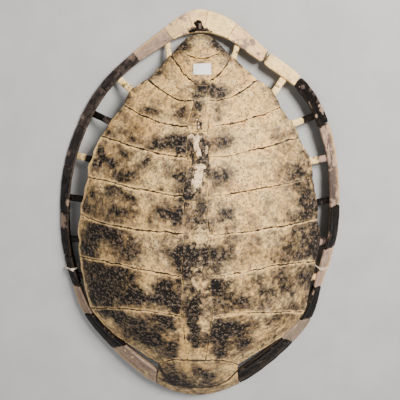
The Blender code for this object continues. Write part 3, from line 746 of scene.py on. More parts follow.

# %% [markdown]
# Every plate gets its skin from one function. Each could be shaped alone, but then the grain
# and the joints wouldn't match across neighbours. The function lifts the flat grid, rolls the
# edges, adds the relief and stores stain, flake, joint dust, pale margin and painted shade
# along the free edges at each point.

# %% Relief of a plate
def plate_parts(plan, thick, halo, grain_seed, ridge=None, free_sides=(), edge_dirt_and_shade=1.0,
                shown=(1.0, 1.0)):
    """The upper and lower sheets of one plate, with their relief and stain attributes.

    halo gives the strength of the bleached band at the first row, last row, first column and
    last column. ridge is extra thickness below, such as the rib. edge_dirt_and_shade is how
    dark the outline is along an edge that meets no other bone: partly dirt and partly painted
    shade of the plate's side wall. shown is how dark the joints are at the first and last rows,
    and at the first and last columns.
    """
    down, up, left, right = edge_distances(plan)
    nearest = np.minimum(np.minimum(down, up), np.minimum(left, right))
    base = lifted(plan)
    out = outward(plan)
    uv = np.stack([left, down], -1)
    grain_spot = np.stack([left * 0.09, down, np.full_like(left, grain_seed * 7.3)], -1)
    grain = noise(grain_spot, 1.9, grain_seed) * 0.6 + noise(grain_spot, 4.5, 31) * 0.4
    flake, crack = flakes_at(base)
    broken = ease(rough(base, 11, 41, 4), 0.40, 0.48)
    strength = joint_strength(base)
    holes = pits(base, 7.5, 51) * ease(rough(base, 40, 52, 2), -0.4, 0.3)
    swell = rough(base, 70, 61, 2) * 1.1
    ends = np.minimum(down, up)
    sides = np.minimum(left, right)
    pillow = np.maximum(shown[0] * np.exp(-ends / 5.0), shown[1] * np.exp(-sides / 5.0))
    pillow = -0.7 * pillow * strength
    relief = swell + pillow + grain * 0.16 + rough(base, 6, 63, 2) * 0.28
    relief = relief - broken * (0.45 + 0.3 * noise(base, 3.1, 42)) - holes * 0.7
    relief = relief - flake * 0.5 - crack * (0.8 + 0.5 * noise(base, 3.3, 43))
    free = free_edge(down, up, left, right, free_sides)
    opened = strength * np.where(sides < ends, shown[1], shown[0])
    radius = EDGE_RADIUS * np.where(free < 2.5, 1.0, 0.35 + 0.75 * opened)
    top = base + out * (relief - rolled(nearest, radius))[..., None]
    lower = rough(base, 25, 71, 3) * 0.5 + grain * 0.12
    depth = thick + (0 if ridge is None else ridge) + lower
    under = base - out * (depth - rolled(nearest, 1.2))[..., None]
    ragged = 0.55 + 0.45 * ease(rough(base, 9, 81, 3), -0.5, 0.4)
    bands = 0
    for distance, bleach, wide in zip((down, up, left, right), halo[0], halo[1]):
        bands = np.maximum(bands, bleach * np.exp(-(distance / wide) ** 2) * ragged)
    bead = bead_width(base)
    crosswise = shown[0] * np.exp(-(ends / bead) ** 1.5)
    lengthwise = shown[1] * np.exp(-(sides / bead) ** 1.5)
    seam = np.maximum(crosswise, lengthwise) * strength * np.clip(free / 3, 0, 1)
    # Along edges that meet no other bone, a ragged dark line and a wider darkening are painted:
    # partly dirt, partly painted shade of the plate's side wall.
    outline = ease(rough(base, 14, 98, 2), -0.55, 0.1) * min(edge_dirt_and_shade, 1.0)
    seam = np.maximum(seam, 0.80 * np.exp(-(free / 2.6) ** 1.5) * outline)
    margin_stain_and_shade = 0.42 * edge_dirt_and_shade * np.exp(-free / (6 + 2 * edge_dirt_and_shade)) * outline
    data = {"stain": stain_at(base) + margin_stain_and_shade, "flake": flake, "crack": crack,
            "broken": broken, "halo": bands, "seam": seam, "pit": holes}
    none = np.zeros_like(seam)
    below = {"stain": 0.16 + 0.2 * rough(base, 30, 91, 4), "flake": none, "crack": none,
             "broken": none, "halo": none, "seam": np.exp(-nearest / 0.9) * 0.6, "pit": none}
    return slab(top, under, data, below, uv, "plate", "inside")


print("pale margins, grain and dust are ready for", len(PLATE_JOINTS) - 1, "plates on each side")

# %% [markdown]
# A rib plate fills the space between two joints, from the middle strip to its bulging free
# edge. It could be cut out of the dome. Here its grid runs between the two joint lines, so the
# faces follow the plate's own direction and the grain can too.

# %% Grid of a rib plate
def column_count(length):
    """Number of grid lines for a length."""
    return int(length / GRID) + 6


def side_line(number, side, s):
    """One joint between two rib plates, 0 for the front edge of the first plate."""
    if number == 0:
        corner = np.array(FRONT_EDGE[side], float)
        return np.stack([np.interp(s, np.linspace(0, 1, 7), corner[:, k]) for k in (0, 1)], 1)
    return bent_line(PLATE_LINES[side][number - 1], s)


def costal_grid(number, side, s_shares, rows):
    """Grid of one rib plate seen from above: rows head to tail, columns outward."""
    seed = 100 + number * 3 + (50 if side == "left" else 0)
    dense = np.linspace(0, 1, 500)
    front_dense = joint_wave(side_line(number - 1, side, dense), seed - 3)
    rear_dense = joint_wave(side_line(number, side, dense), seed)
    front = np.stack([np.interp(s_shares, dense, front_dense[:, k]) for k in (0, 1)], 1)
    rear = np.stack([np.interp(s_shares, dense, rear_dense[:, k]) for k in (0, 1)], 1)
    v = graded(rows, np.linalg.norm(rear - front, axis=1))
    plan = (1 - v)[..., None] * front + v[..., None] * rear
    inner_y = PLATE_JOINTS[number - 1] + v[:, 0] * (PLATE_JOINTS[number] - PLATE_JOINTS[number - 1])
    inner = np.stack([strip_edge(inner_y, side), inner_y], 1)
    inner = joint_wave(inner, seed + 400, 0.6)
    fade = (1 - s_shares) ** 2
    plan += (inner - plan[:, 0])[:, None] * fade[None, :, None]
    away = plan[:, -1] - plan[:, -2]
    away /= np.linalg.norm(away, axis=1, keepdims=True) + 1e-9
    share = v[:, -1]
    spot = np.stack([share * 90, share * 0 + number * 31, share * 0 + seed], 1)
    blurred = share[:, None] + np.linspace(-0.05, 0.05, 7)
    bulge = np.interp(blurred, np.linspace(0, 1, 9), BULGE[side][number - 1]).mean(1)
    wander = noise(spot, 11, 7) * 0.9 + noise(spot, 4, 9) * 0.4
    bulge = bulge + wander * ease(share, 0, 0.06) * ease(1 - share, 0, 0.06)
    reach = ease(s_shares, 0.72, 1.0)
    plan += (away * bulge[:, None])[:, None] * reach[None, :, None]
    return plan, v


def pulled_in(plan, gap, edges):
    """Pull chosen edges of a grid inward by half a joint: first, last, left, right."""
    plan = plan.copy()
    source = plan.copy()

    def shift(line, inner):
        along = np.gradient(line, axis=0)
        along /= np.linalg.norm(along, axis=1, keepdims=True) + 1e-9
        side = np.stack([-along[:, 1], along[:, 0]], 1)
        toward = np.sign(np.sum(side * (inner - line), axis=1, keepdims=True))
        return side * toward * gap
    if "first" in edges:
        plan[0] += shift(source[0], source[6])
    if "last" in edges:
        plan[-1] += shift(source[-1], source[-7])
    if "left" in edges:
        plan[:, 0] += shift(source[:, 0], source[:, 6])
    if "right" in edges:
        plan[:, -1] += shift(source[:, -1], source[:, -7])
    return plan


def rim_frame(t):
    """Rim point and the level direction into the shell at a place on the rim."""
    here = rim_curve(t)[0]
    ahead = rim_curve(t + 0.01)[0] - rim_curve(t - 0.01)[0]
    inward = np.array([-ahead[1], ahead[0]]) / np.linalg.norm(ahead)
    if inward @ (SUMMIT - here) < 0:
        inward = -inward
    head = RIM_COUNT / 2
    near = np.clip(1 - abs(abs(t % RIM_COUNT - head) - 1), 0, 1) ** 2
    lean = np.array([0.12 if t % RIM_COUNT < head else -0.12, 1.0])
    inward = (1 - near) * inward + near * lean
    return here, inward / np.linalg.norm(inward)


trial = costal_grid(4, "left", np.linspace(0, 1, 30), 12)[0]
print("the fourth left plate is", np.linalg.norm(trial[0, -1] - trial[0, 0]).round(), "mm long")

# %% [markdown]
# A rib runs under each plate from the backbone and crosses the open gap to the groove of the
# rim. Some bare ends are cream and some are black with old skin. They could be plain rods. They
# are tubes along a bent line with a flattened, uneven section, as dry rib bone has, and their
# colours come by name from a small palette.

# %% Colours
PALETTE = {"cream": (0.97, 0.68, 0.29), "pale": (0.84, 0.55, 0.26), "pink": (0.33, 0.225, 0.165),
           "grey": (0.26, 0.19, 0.135), "brown": (0.066, 0.048, 0.040),
           "mauve": (0.10, 0.071, 0.060), "charcoal": (0.026, 0.021, 0.020),
           "black": (0.006, 0.0045, 0.004), "soot": (0.003, 0.002, 0.002)}
RIB_COLOURS = {"left": ["black", "black", "black", "black", "black", "brown", "cream", "cream"],
               "right": ["grey", "pale", "pink", "black", "cream", "cream", "cream", "cream"]}
RIB_TIPS = {"left": ["black", "black", "black", "soot", "cream", "black", "cream", "cream"],
            "right": ["grey", "pale", "brown", "soot", "pink", "black", "cream", "cream"]}


def painted(points, first, second, share, seed, size=9):
    """Colour of each point: the first colour with patches of the second over a share of it."""
    patch = rough(points, size, seed, 4)
    cover = ease(patch, 0.55 - 1.2 * share, 0.70 - 1.2 * share)
    first = np.array(PALETTE[first])
    second = np.array(PALETTE[second])
    colour = first + (second - first) * cover[..., None]
    tone = 1 + 0.38 * rough(points, 17, seed + 5, 3) + 0.28 * rough(points, 5, seed + 9, 3)
    return colour * tone[..., None]


print("colours", sorted(PALETTE))

# %% [markdown]
# The bare rib end starts inside the plate and reaches into the groove of the rim. A straight
# bar would show its corners. A tube along a softened line is used, with a section that is wide
# and low at the plate and slimmer at the tip.

# %% Bare rib end
def rib_line(number, plan, v):
    """Line of the rib under a plate: it starts at mid width and ends at its own share."""
    out = np.linspace(0, 1, plan.shape[1])
    start = 0.72 if number == 1 else 0.5
    share = start + (RIB_SHARE[number - 1] - start) * out ** 2
    return np.array([[np.interp(want, v[:, column], plan[:, column, k]) for k in (0, 1)]
                     for column, want in enumerate(share)])


def rib_end(number, side, plan, v):
    """The bare end of a rib, as a tube with a flattened, uneven section."""
    middle_row = rib_line(number, plan, v)
    station = RIB_STATION[side][number - 1]
    t = station if side == "left" else RIM_COUNT - station
    here, inward = rim_frame(t)
    end = here + inward * (rim_width(t) - RIB_REACH)
    start = middle_row[int(plan.shape[1] * 0.86)]
    edge = middle_row[-1]
    count = 60
    s = np.linspace(0, 1, count)
    path = soft_line([start, (start + edge) / 2, edge, edge * 0.5 + end * 0.5, end], s, 0.18)
    surface = lifted(path)
    up = outward(path)
    depth = np.interp(s, [0, 0.45, 1], [7.0, 7.8, 9.4])
    centres = surface - up * depth[:, None]
    across, up = line_frame(centres, up)
    wide = np.interp(s, [0, 0.4, 0.75, 0.97, 1], [8.6, 8.2, 7.4, 7.8, 6.6])
    tall = np.interp(s, [0, 0.4, 0.75, 0.97, 1], [4.3, 4.0, 3.4, 3.2, 2.6])
    if number == 8:
        wide = wide * 0.78
    angle = 2 * np.pi * np.arange(28) / 28
    bend_x = np.sign(np.cos(angle)) * np.abs(np.cos(angle)) ** 0.8
    bend_y = np.sign(np.sin(angle)) * np.abs(np.sin(angle)) ** 0.8
    rings = loft(centres, across, up, wide[:, None] * bend_x, tall[:, None] * bend_y)
    rings = rings + grid_normals(rings) * (rough(rings, 9, 200 + number, 3) * 0.7)[..., None]
    body = painted(rings, RIB_COLOURS[side][number - 1], "brown", 0.16, 210 + number)
    tip = painted(rings, RIB_TIPS[side][number - 1], "brown", 0.2, 230 + number)
    change = ease(s + 0.1 * noise(rings, 8, 240).mean(1), 0.70, 0.76)[:, None, None]
    tint = body * (1 - change) + tip * change
    # Dark patches on the rib end are painted shade, standing for small shadowed hollows in the bone.
    hollow_shade = ease(rough(rings, 7, 245 + number, 3), 0.12, 0.30) * (s < 0.80)[:, None]
    tint = tint * (1 - 0.75 * hollow_shade[..., None])
    film = (tint.mean(-1) < 0.06) * 1.0
    data = {"tint": tint, "film": film, "seam": film * 0, "stain": film * 0}
    return tube(rings, data, tube_uv(s * 60, angle * 6), "rim")


print("rib ends on the left", RIB_COLOURS["left"])

# %% [markdown]
# On the under side each rib leaves its plate and ends at the backbone as a slender rod. It
# could be left out, since the photo hides it. It is made, because a real shell shows it when it
# is turned over.

# %% Rib head and ridge
def rib_head(number, side):
    """The slender inner end of a rib, which stands free of its plate beside the backbone."""
    mid_y = (PLATE_JOINTS[number - 1] + PLATE_JOINTS[number]) / 2
    sign = -1 if side == "left" else 1
    centre = (strip_edge(mid_y, "left") + strip_edge(mid_y, "right")) / 2
    start = np.array([centre + sign * 12, mid_y])
    line = (side_line(number - 1, side, np.array([0.24])) + side_line(number, side,
                                                                      np.array([0.24]))) / 2
    s = np.linspace(0, 1, 40)
    path = start * (1 - s)[:, None] + line[0] * s[:, None]
    depth = SPOOL_DEPTH - 20.5 * (1 - (1 - s) ** 2)
    up = outward(path)
    centres = lifted(path) - up * depth[:, None]
    across, up = line_frame(centres, up)
    angle = 2 * np.pi * np.arange(20) / 20
    wide = np.interp(s, [0, 0.12, 0.4, 1], [3.4, 4.6, 4.2, 8.0])[:, None]
    tall = np.interp(s, [0, 0.12, 0.4, 1], [2.8, 3.8, 3.4, 3.0])[:, None]
    rings = loft(centres, across, up, wide * np.cos(angle), tall * np.sin(angle))
    rings = rings + grid_normals(rings) * (rough(rings, 7, 260, 3) * 0.4)[..., None]
    stain = 0.12 + 0.25 * rough(rings, 20, 265, 3)
    return tube(rings, {"stain": stain, "seam": stain * 0}, tube_uv(s * 40, angle * 5), "inside")


def rim_width(t):
    """Level width of the rim's upper face at a place on the rim."""
    return float(round_ring(WIDTH, t))


def rib_ridge(number, plan, v):
    """Extra thickness of a plate over its rib: a low rounded ridge along the rib's line."""
    line = rib_line(number, plan, v)
    offset = np.linalg.norm(plan - line[None], axis=-1)
    start = ease(edge_distances(plan)[2], 25, 60)
    return 4.6 * np.exp(-(offset / 8.2) ** 4) * start


print("rib stations on the left", RIB_STATION["left"])

# %% [markdown]
# A finish in Blender is a tree of small nodes, which could be wired by hand in the editor. These
# helpers add a node and fill its inputs in one line, so each material reads as a short recipe.
# The materials come before the bones, since each mesh takes one.

# %% Node helpers
def put(tree, kind, inputs=None, **settings):
    """Add a node, set its options and fill its inputs with values or links."""
    made = tree.nodes.new(kind)
    for key, value in settings.items():
        setattr(made, key, value)
    for key, value in (inputs or {}).items():
        socket = made.inputs[key]
        if isinstance(value, bpy.types.NodeSocket):
            tree.links.new(value, socket)
        else:
            socket.default_value = value
    return made


def mixed(tree, factor, first, second, blend="MIX"):
    """Mix two colours."""
    made = put(tree, "ShaderNodeMix", {0: factor}, data_type="RGBA", blend_type=blend)
    for place, value in ((6, first), (7, second)):
        if isinstance(value, bpy.types.NodeSocket):
            tree.links.new(value, made.inputs[place])
        else:
            made.inputs[place].default_value = (*value, 1)
    return made.outputs[2]


def sums(tree, operation, first, second=0.5, third=0.0):
    """One arithmetic step."""
    made = put(tree, "ShaderNodeMath", {0: first, 1: second, 2: third}, operation=operation)
    return made.outputs[0]


def ramp(tree, value, stops):
    """Smooth change of grey or colour along a value."""
    made = put(tree, "ShaderNodeValToRGB", {0: value})
    made.color_ramp.interpolation = "EASE"
    while len(made.color_ramp.elements) < len(stops):
        made.color_ramp.elements.new(0.5)
    for element, (place, colour) in zip(made.color_ramp.elements, stops):
        element.position = place
        element.color = (*colour, 1) if len(colour) == 3 else (*([colour[0]] * 3), 1)
    return made.outputs[0]


def grainy(tree, vector, scale, detail=4.0, roughness=0.6):
    """Noise value at a place."""
    made = put(tree, "ShaderNodeTexNoise", {"Vector": vector, "Scale": scale, "Detail": detail,
                                            "Roughness": roughness})
    return made.outputs["Fac"]


def new_material(name):
    """Material with its node tree and its main shader."""
    made = bpy.data.materials.new(name)
    made.use_nodes = True
    tree = made.node_tree
    return made, tree, tree.nodes["Principled BSDF"]


def attribute(tree, name, output="Fac"):
    """Value stored with the mesh."""
    return put(tree, "ShaderNodeAttribute", attribute_name=name).outputs[output]


def finished(tree, shader, colour, gloss, relief, strength, distance):
    """Joins colour, roughness and a bump of the given strength and distance to the shader."""
    tree.links.new(colour, shader.inputs["Base Color"])
    if isinstance(gloss, float):
        shader.inputs["Roughness"].default_value = gloss
    else:
        tree.links.new(gloss, shader.inputs["Roughness"])
    bump = put(tree, "ShaderNodeBump", {"Height": relief, "Strength": strength,
                                        "Distance": distance})
    tree.links.new(bump.outputs[0], shader.inputs["Normal"])


def stretched_uv(tree, along, across):
    """Surface coordinates stretched along the grain of the bone."""
    uv = put(tree, "ShaderNodeUVMap", uv_map="UVMap").outputs[0]
    return put(tree, "ShaderNodeMapping", {"Vector": uv, "Scale": (along, across, 1)}).outputs[0]


trial_look = new_material("trial")[0]
print("a new finish starts with", len(trial_look.node_tree.nodes), "nodes")
bpy.data.materials.remove(trial_look)

# %% [markdown]
# The outer face is tan bone under brown to black stain. One flat colour with a bump would look
# like plastic. The stored stain is mixed with three sizes of noise and becomes a veil that
# darkens the bone. Then flakes, pores and dark joints are laid over it in turn.


# %% Outer face of the plates
def plate_material():
    """Weathered outer face: tan bone under brown to black stain, with flakes and dark joints."""
    made, tree, shader = new_material("weathered_bone")
    place = put(tree, "ShaderNodeTexCoord").outputs["Object"]
    broad = grainy(tree, place, 16, 4, 0.6)
    fine = grainy(tree, place, 240, 5, 0.75)
    speck = grainy(tree, place, 560, 3, 0.7)
    streak = grainy(tree, stretched_uv(tree, 14, 150), 1.0, 4, 0.6)
    bone = ramp(tree, broad, [(0.30, (0.84, 0.46, 0.115)), (0.46, (0.96, 0.565, 0.17)),
                              (0.62, (1.0, 0.65, 0.235)), (0.8, (0.92, 0.52, 0.14))])
    patchy = ramp(tree, grainy(tree, place, 90, 6, 0.78), [(0.40, (0.34, 0.32, 0.31)),
                                                           (0.48, (0.74,)), (0.56, (1.0,))])
    bone = mixed(tree, 1.0, bone, patchy, "MULTIPLY")
    bone = mixed(tree, ramp(tree, streak, [(0.42, (0,)), (0.62, (0.45,))]), bone,
                 (0.58, 0.40, 0.22))
    bone = mixed(tree, sums(tree, "MULTIPLY", attribute(tree, "broken"), 0.35), bone,
                 (0.80, 0.64, 0.43))
    halo = attribute(tree, "halo")
    swing = sums(tree, "MULTIPLY_ADD", sums(tree, "SUBTRACT", fine, 0.5), 0.72,
                 attribute(tree, "stain"))
    swing = sums(tree, "MULTIPLY_ADD", sums(tree, "SUBTRACT", speck, 0.5), 0.95, swing)
    swing = sums(tree, "MULTIPLY_ADD", sums(tree, "SUBTRACT", streak, 0.5), 0.25, swing)
    swing = sums(tree, "MULTIPLY_ADD", halo, -0.85, swing)
    swing = sums(tree, "MULTIPLY_ADD", attribute(tree, "flake"), -0.35, swing)
    swing = sums(tree, "MULTIPLY_ADD", attribute(tree, "crack"), 0.75, swing)
    veil = ramp(tree, swing, [(0.04, (1.0,)), (0.22, (0.75, 0.785, 0.86)),
                              (0.42, (0.41, 0.43, 0.53)), (0.62, (0.135, 0.144, 0.20)),
                              (0.86, (0.006, 0.007, 0.014))])
    bone = mixed(tree, 1.0, bone, veil, "MULTIPLY")
    blot = ramp(tree, grainy(tree, place, 150, 4, 0.75), [(0.54, (0,)), (0.61, (1.0,))])
    blot = sums(tree, "MULTIPLY", blot, ramp(tree, attribute(tree, "stain"),
                                             [(0.02, (0.60,)), (0.35, (0.85,))]))
    bone = mixed(tree, blot, bone, (0.20, 0.145, 0.105))
    fleck = ramp(tree, grainy(tree, place, 190, 2, 0.6), [(0.66, (0,)), (0.74, (0.32,))])
    fleck = sums(tree, "MULTIPLY", fleck, ramp(tree, swing, [(0.4, (0,)), (0.7, (1,))]))
    bone = mixed(tree, fleck, bone, (0.50, 0.40, 0.30))
    white = sums(tree, "MULTIPLY", attribute(tree, "flake"),
                 ramp(tree, swing, [(0.15, (0.85,)), (0.60, (0.1,))]))
    chalk = ramp(tree, fine, [(0.36, (0.42, 0.29, 0.16)), (0.48, (0.88, 0.67, 0.42)),
                              (0.7, (0.94, 0.77, 0.54))])
    bone = mixed(tree, white, bone, chalk)
    cover = ramp(tree, halo, [(0.1, (0,)), (0.7, (0.55,))])
    bone = mixed(tree, cover, bone, (0.95, 0.64, 0.29))
    dots = put(tree, "ShaderNodeTexVoronoi", {"Vector": place, "Scale": 150.0,
                                              "Randomness": 1.0}).outputs["Distance"]
    dot_mask = ramp(tree, dots, [(0.16, (1,)), (0.36, (0,))])
    patch = ramp(tree, grainy(tree, place, 34, 3, 0.5), [(0.36, (0.15,)), (0.54, (1.0,))])
    dot_mask = sums(tree, "MULTIPLY", dot_mask, patch)
    bone = mixed(tree, dot_mask, bone, (0.14, 0.085, 0.048))
    bone = mixed(tree, sums(tree, "MULTIPLY", attribute(tree, "pit"), 0.8), bone,
                 (0.06, 0.042, 0.028))
    # Joints are darkened with dust, and edges that meet no other bone with painted shade.
    seam = sums(tree, "MULTIPLY_ADD", sums(tree, "SUBTRACT", fine, 0.5), 0.8,
                attribute(tree, "seam"))
    bone = mixed(tree, ramp(tree, seam, [(0.22, (0,)), (0.55, (0.97,))]), bone,
                 (0.022, 0.014, 0.009))
    gloss = ramp(tree, swing, [(0.2, (0.52,)), (0.8, (0.66,))])
    shader.inputs["Specular IOR Level"].default_value = 0.22
    relief = sums(tree, "MULTIPLY_ADD", fine, 0.5, sums(tree, "MULTIPLY", streak, 0.5))
    relief = sums(tree, "MULTIPLY_ADD", dot_mask, -0.5, relief)
    finished(tree, shader, bone, gloss, relief, 0.6, 0.0013)
    return made


materials["plate"] = plate_material()
print("plate", len(materials["plate"].node_tree.nodes), "nodes")

# %% [markdown]
# The under side is paler and smoother, with brown dust and fine grain. It could share the outer
# finish with the stain turned down. A short recipe of its own is clearer.


# %% Under side of the plates
def inside_material():
    """Under side of the plates: paler, smoother bone with brown dust and fine grain."""
    made, tree, shader = new_material("inner_bone")
    place = put(tree, "ShaderNodeTexCoord").outputs["Object"]
    broad = grainy(tree, place, 15, 5, 0.6)
    fine = grainy(tree, place, 330, 5, 0.7)
    streak = grainy(tree, stretched_uv(tree, 10, 190), 1.0, 4, 0.6)
    bone = ramp(tree, broad, [(0.3, (0.44, 0.33, 0.21)), (0.55, (0.60, 0.48, 0.33)),
                              (0.75, (0.52, 0.40, 0.27))])
    bone = mixed(tree, ramp(tree, streak, [(0.40, (0,)), (0.66, (0.5,))]), bone,
                 (0.36, 0.26, 0.16))
    swing = sums(tree, "MULTIPLY_ADD", sums(tree, "SUBTRACT", fine, 0.5), 0.5,
                 attribute(tree, "stain"))
    bone = mixed(tree, ramp(tree, swing, [(0.25, (0,)), (0.65, (0.8,))]), bone,
                 (0.20, 0.135, 0.08))
    seam = attribute(tree, "seam")
    bone = mixed(tree, ramp(tree, seam, [(0.2, (0,)), (0.6, (0.8,))]), bone,
                 (0.06, 0.04, 0.026))
    shader.inputs["Specular IOR Level"].default_value = 0.2
    relief = sums(tree, "MULTIPLY_ADD", fine, 0.4, sums(tree, "MULTIPLY", streak, 0.6))
    finished(tree, shader, bone, 0.68, relief, 0.5, 0.001)
    return made


materials["inside"] = inside_material()
print("inside", len(materials["inside"].node_tree.nodes), "nodes")

# %% [markdown]
# Rim bones and rib ends go from cream to black within one bone. A material for each colour would
# need many slots. One material reads a colour stored with the points and adds lengthwise grain,
# pores and a thin film where old horn is left on the dark parts.


# %% Rim bones and rib ends
def rim_material():
    """Rim and rib ends: stored colour with scratches, pores and glossy old film on dark parts."""
    made, tree, shader = new_material("rim_bone")
    place = put(tree, "ShaderNodeTexCoord").outputs["Object"]
    tint = attribute(tree, "tint", "Color")
    fine = grainy(tree, place, 300, 6, 0.75)
    streak = grainy(tree, stretched_uv(tree, 12, 110), 1.0, 5, 0.65)
    shade = ramp(tree, streak, [(0.32, (0.50,)), (0.5, (1.0,)), (0.68, (1.40,))])
    colour = mixed(tree, 1.0, tint, shade, "MULTIPLY")
    band = grainy(tree, stretched_uv(tree, 2.6, 30), 1.0, 4, 0.65)
    bands = ramp(tree, band, [(0.36, (0.50, 0.47, 0.46)), (0.50, (1.0,)), (0.62, (1.30,))])
    dim = sums(tree, "MULTIPLY_ADD", attribute(tree, "film"), 0.6, 0.4)
    colour = mixed(tree, dim, colour, bands, "MULTIPLY")
    grit = ramp(tree, fine, [(0.40, (1.12,)), (0.58, (0.92,)), (0.72, (0.42,))])
    colour = mixed(tree, 1.0, colour, grit, "MULTIPLY")
    rubbed = ramp(tree, grainy(tree, place, 95, 6, 0.7), [(0.60, (0,)), (0.70, (0.25,))])
    film = attribute(tree, "film")
    colour = mixed(tree, sums(tree, "MULTIPLY", rubbed, film), colour, (0.20, 0.145, 0.11))
    seam = attribute(tree, "seam")
    colour = mixed(tree, ramp(tree, seam, [(0.3, (0,)), (0.8, (0.9,))]), colour,
                   (0.022, 0.016, 0.012))
    gloss = ramp(tree, film, [(0.0, (0.64,)), (1.0, (0.48,))])
    shader.inputs["Specular IOR Level"].default_value = 0.05
    relief = sums(tree, "MULTIPLY_ADD", fine, 0.45, sums(tree, "MULTIPLY", streak, 0.55))
    finished(tree, shader, colour, gloss, relief, 0.6, 0.0012)
    return made


materials["rim"] = rim_material()
print("rim", len(materials["rim"].node_tree.nodes), "nodes")

# %% [markdown]
# A paper sticker and cotton string are the only things that aren't bone. Both could be plain
# colours, but fibre noise gives the paper its matt face and the string its hair.


# %% Paper and string
def label_material():
    """Matt white paper with fibres and a slightly grubby edge."""
    made, tree, shader = new_material("label_paper")
    place = put(tree, "ShaderNodeTexCoord").outputs["Object"]
    fibre = grainy(tree, place, 900, 5, 0.6)
    dust = grainy(tree, place, 120, 4, 0.6)
    paper = ramp(tree, fibre, [(0.3, (0.78, 0.77, 0.74)), (0.7, (0.88, 0.875, 0.85))])
    paper = mixed(tree, ramp(tree, dust, [(0.5, (0,)), (0.75, (0.35,))]), paper,
                  (0.60, 0.56, 0.49))
    paper = mixed(tree, attribute(tree, "seam"), paper, (0.45, 0.41, 0.35))
    finished(tree, shader, paper, 0.6, fibre, 0.2, 0.0003)
    return made


def string_material():
    """Soft cream cotton with fine hair along the twist."""
    made, tree, shader = new_material("cotton_string")
    place = put(tree, "ShaderNodeTexCoord").outputs["Object"]
    hair = grainy(tree, place, 1500, 4, 0.7)
    dirt = grainy(tree, place, 160, 3, 0.6)
    cotton = ramp(tree, hair, [(0.3, (0.55, 0.46, 0.31)), (0.7, (0.80, 0.72, 0.55))])
    cotton = mixed(tree, ramp(tree, dirt, [(0.45, (0,)), (0.7, (0.5,))]), cotton,
                   (0.42, 0.33, 0.21))
    # This value darkens the cotton: painted shade in the grooves between the strands, and a slight
    # darkening of the knot.
    cotton = mixed(tree, attribute(tree, "seam"), cotton, (0.24, 0.17, 0.10))
    shader.inputs["Sheen Weight"].default_value = 0.25
    finished(tree, shader, cotton, 0.85, hair, 0.5, 0.0004)
    return made


materials["label"] = label_material()
materials["string"] = string_material()
print("materials", sorted(materials))

# %% [markdown]
# Eight rib plates on each side make most of the dome. They could be one sheet with painted
# joints. Each is its own piece, because on a real shell each is a separate bone grown onto its
# rib, and the light catches the open joints between them.

# %% Rib plates
def costal(number, side):
    """One rib plate with its ridge below, its free inner end and its bare outer end."""
    lines = [side_line(k, side, np.linspace(0, 1, 50)) for k in (number - 1, number)]
    lengths = [np.linalg.norm(np.diff(line, axis=0), axis=1).sum() for line in lines]
    widths = np.linalg.norm(lines[1] - lines[0], axis=1)
    s = graded(column_count(max(lengths) * 1.15), np.array([max(lengths)]))[:, 0]
    plan, v = costal_grid(number, side, s, column_count(max(widths.max() * 0.8, 30)))
    plan = pulled_in(plan, JOINT_GAP / 2, ("first", "last", "left"))
    margin = 1.0 if side == "left" else 0.2
    suture = 0.75 if side == "left" or number < 4 else 0.4
    if number > 5:
        suture = 0.45
        margin = 0.1
    halo = ((suture, suture, 0.3, margin), (4.5, 4.5, 3.0, 6.0))
    # This value sets how dark the free edge is: partly dirt, partly painted shade, strongest on the
    # last plates toward the tail.
    dirt = 0.35 if side == "left" and number < 6 else 1.0
    if number > 6:
        dirt = 1.5
    parts = plate_parts(plan, PLATE_THICK - 0.8, halo, number + (20 if side == "left" else 0),
                        rib_ridge(number, plan, v), ("right",), dirt, (1.0, 0.3))
    parts.append(rib_end(number, side, plan, v))
    if number < 8:
        parts.append(rib_head(number, side))
    name = f"costal_{side}_{number}"
    return make_piece("bone_" + name, parts, [name])


for side in ("left", "right"):
    for number in range(1, 9):
        costal(number, side)
print("rib plates", len(made_pieces), sum(len(o.data.polygons) for o in made_pieces), "faces")


# %% [markdown]
# The middle row is nine small plates, each grown together with a vertebra below it. The backbone
# could be one long rod. Short waisted drums, each with a thin wall up to its plate, are closer
# to the real bones that show when a shell is turned over.


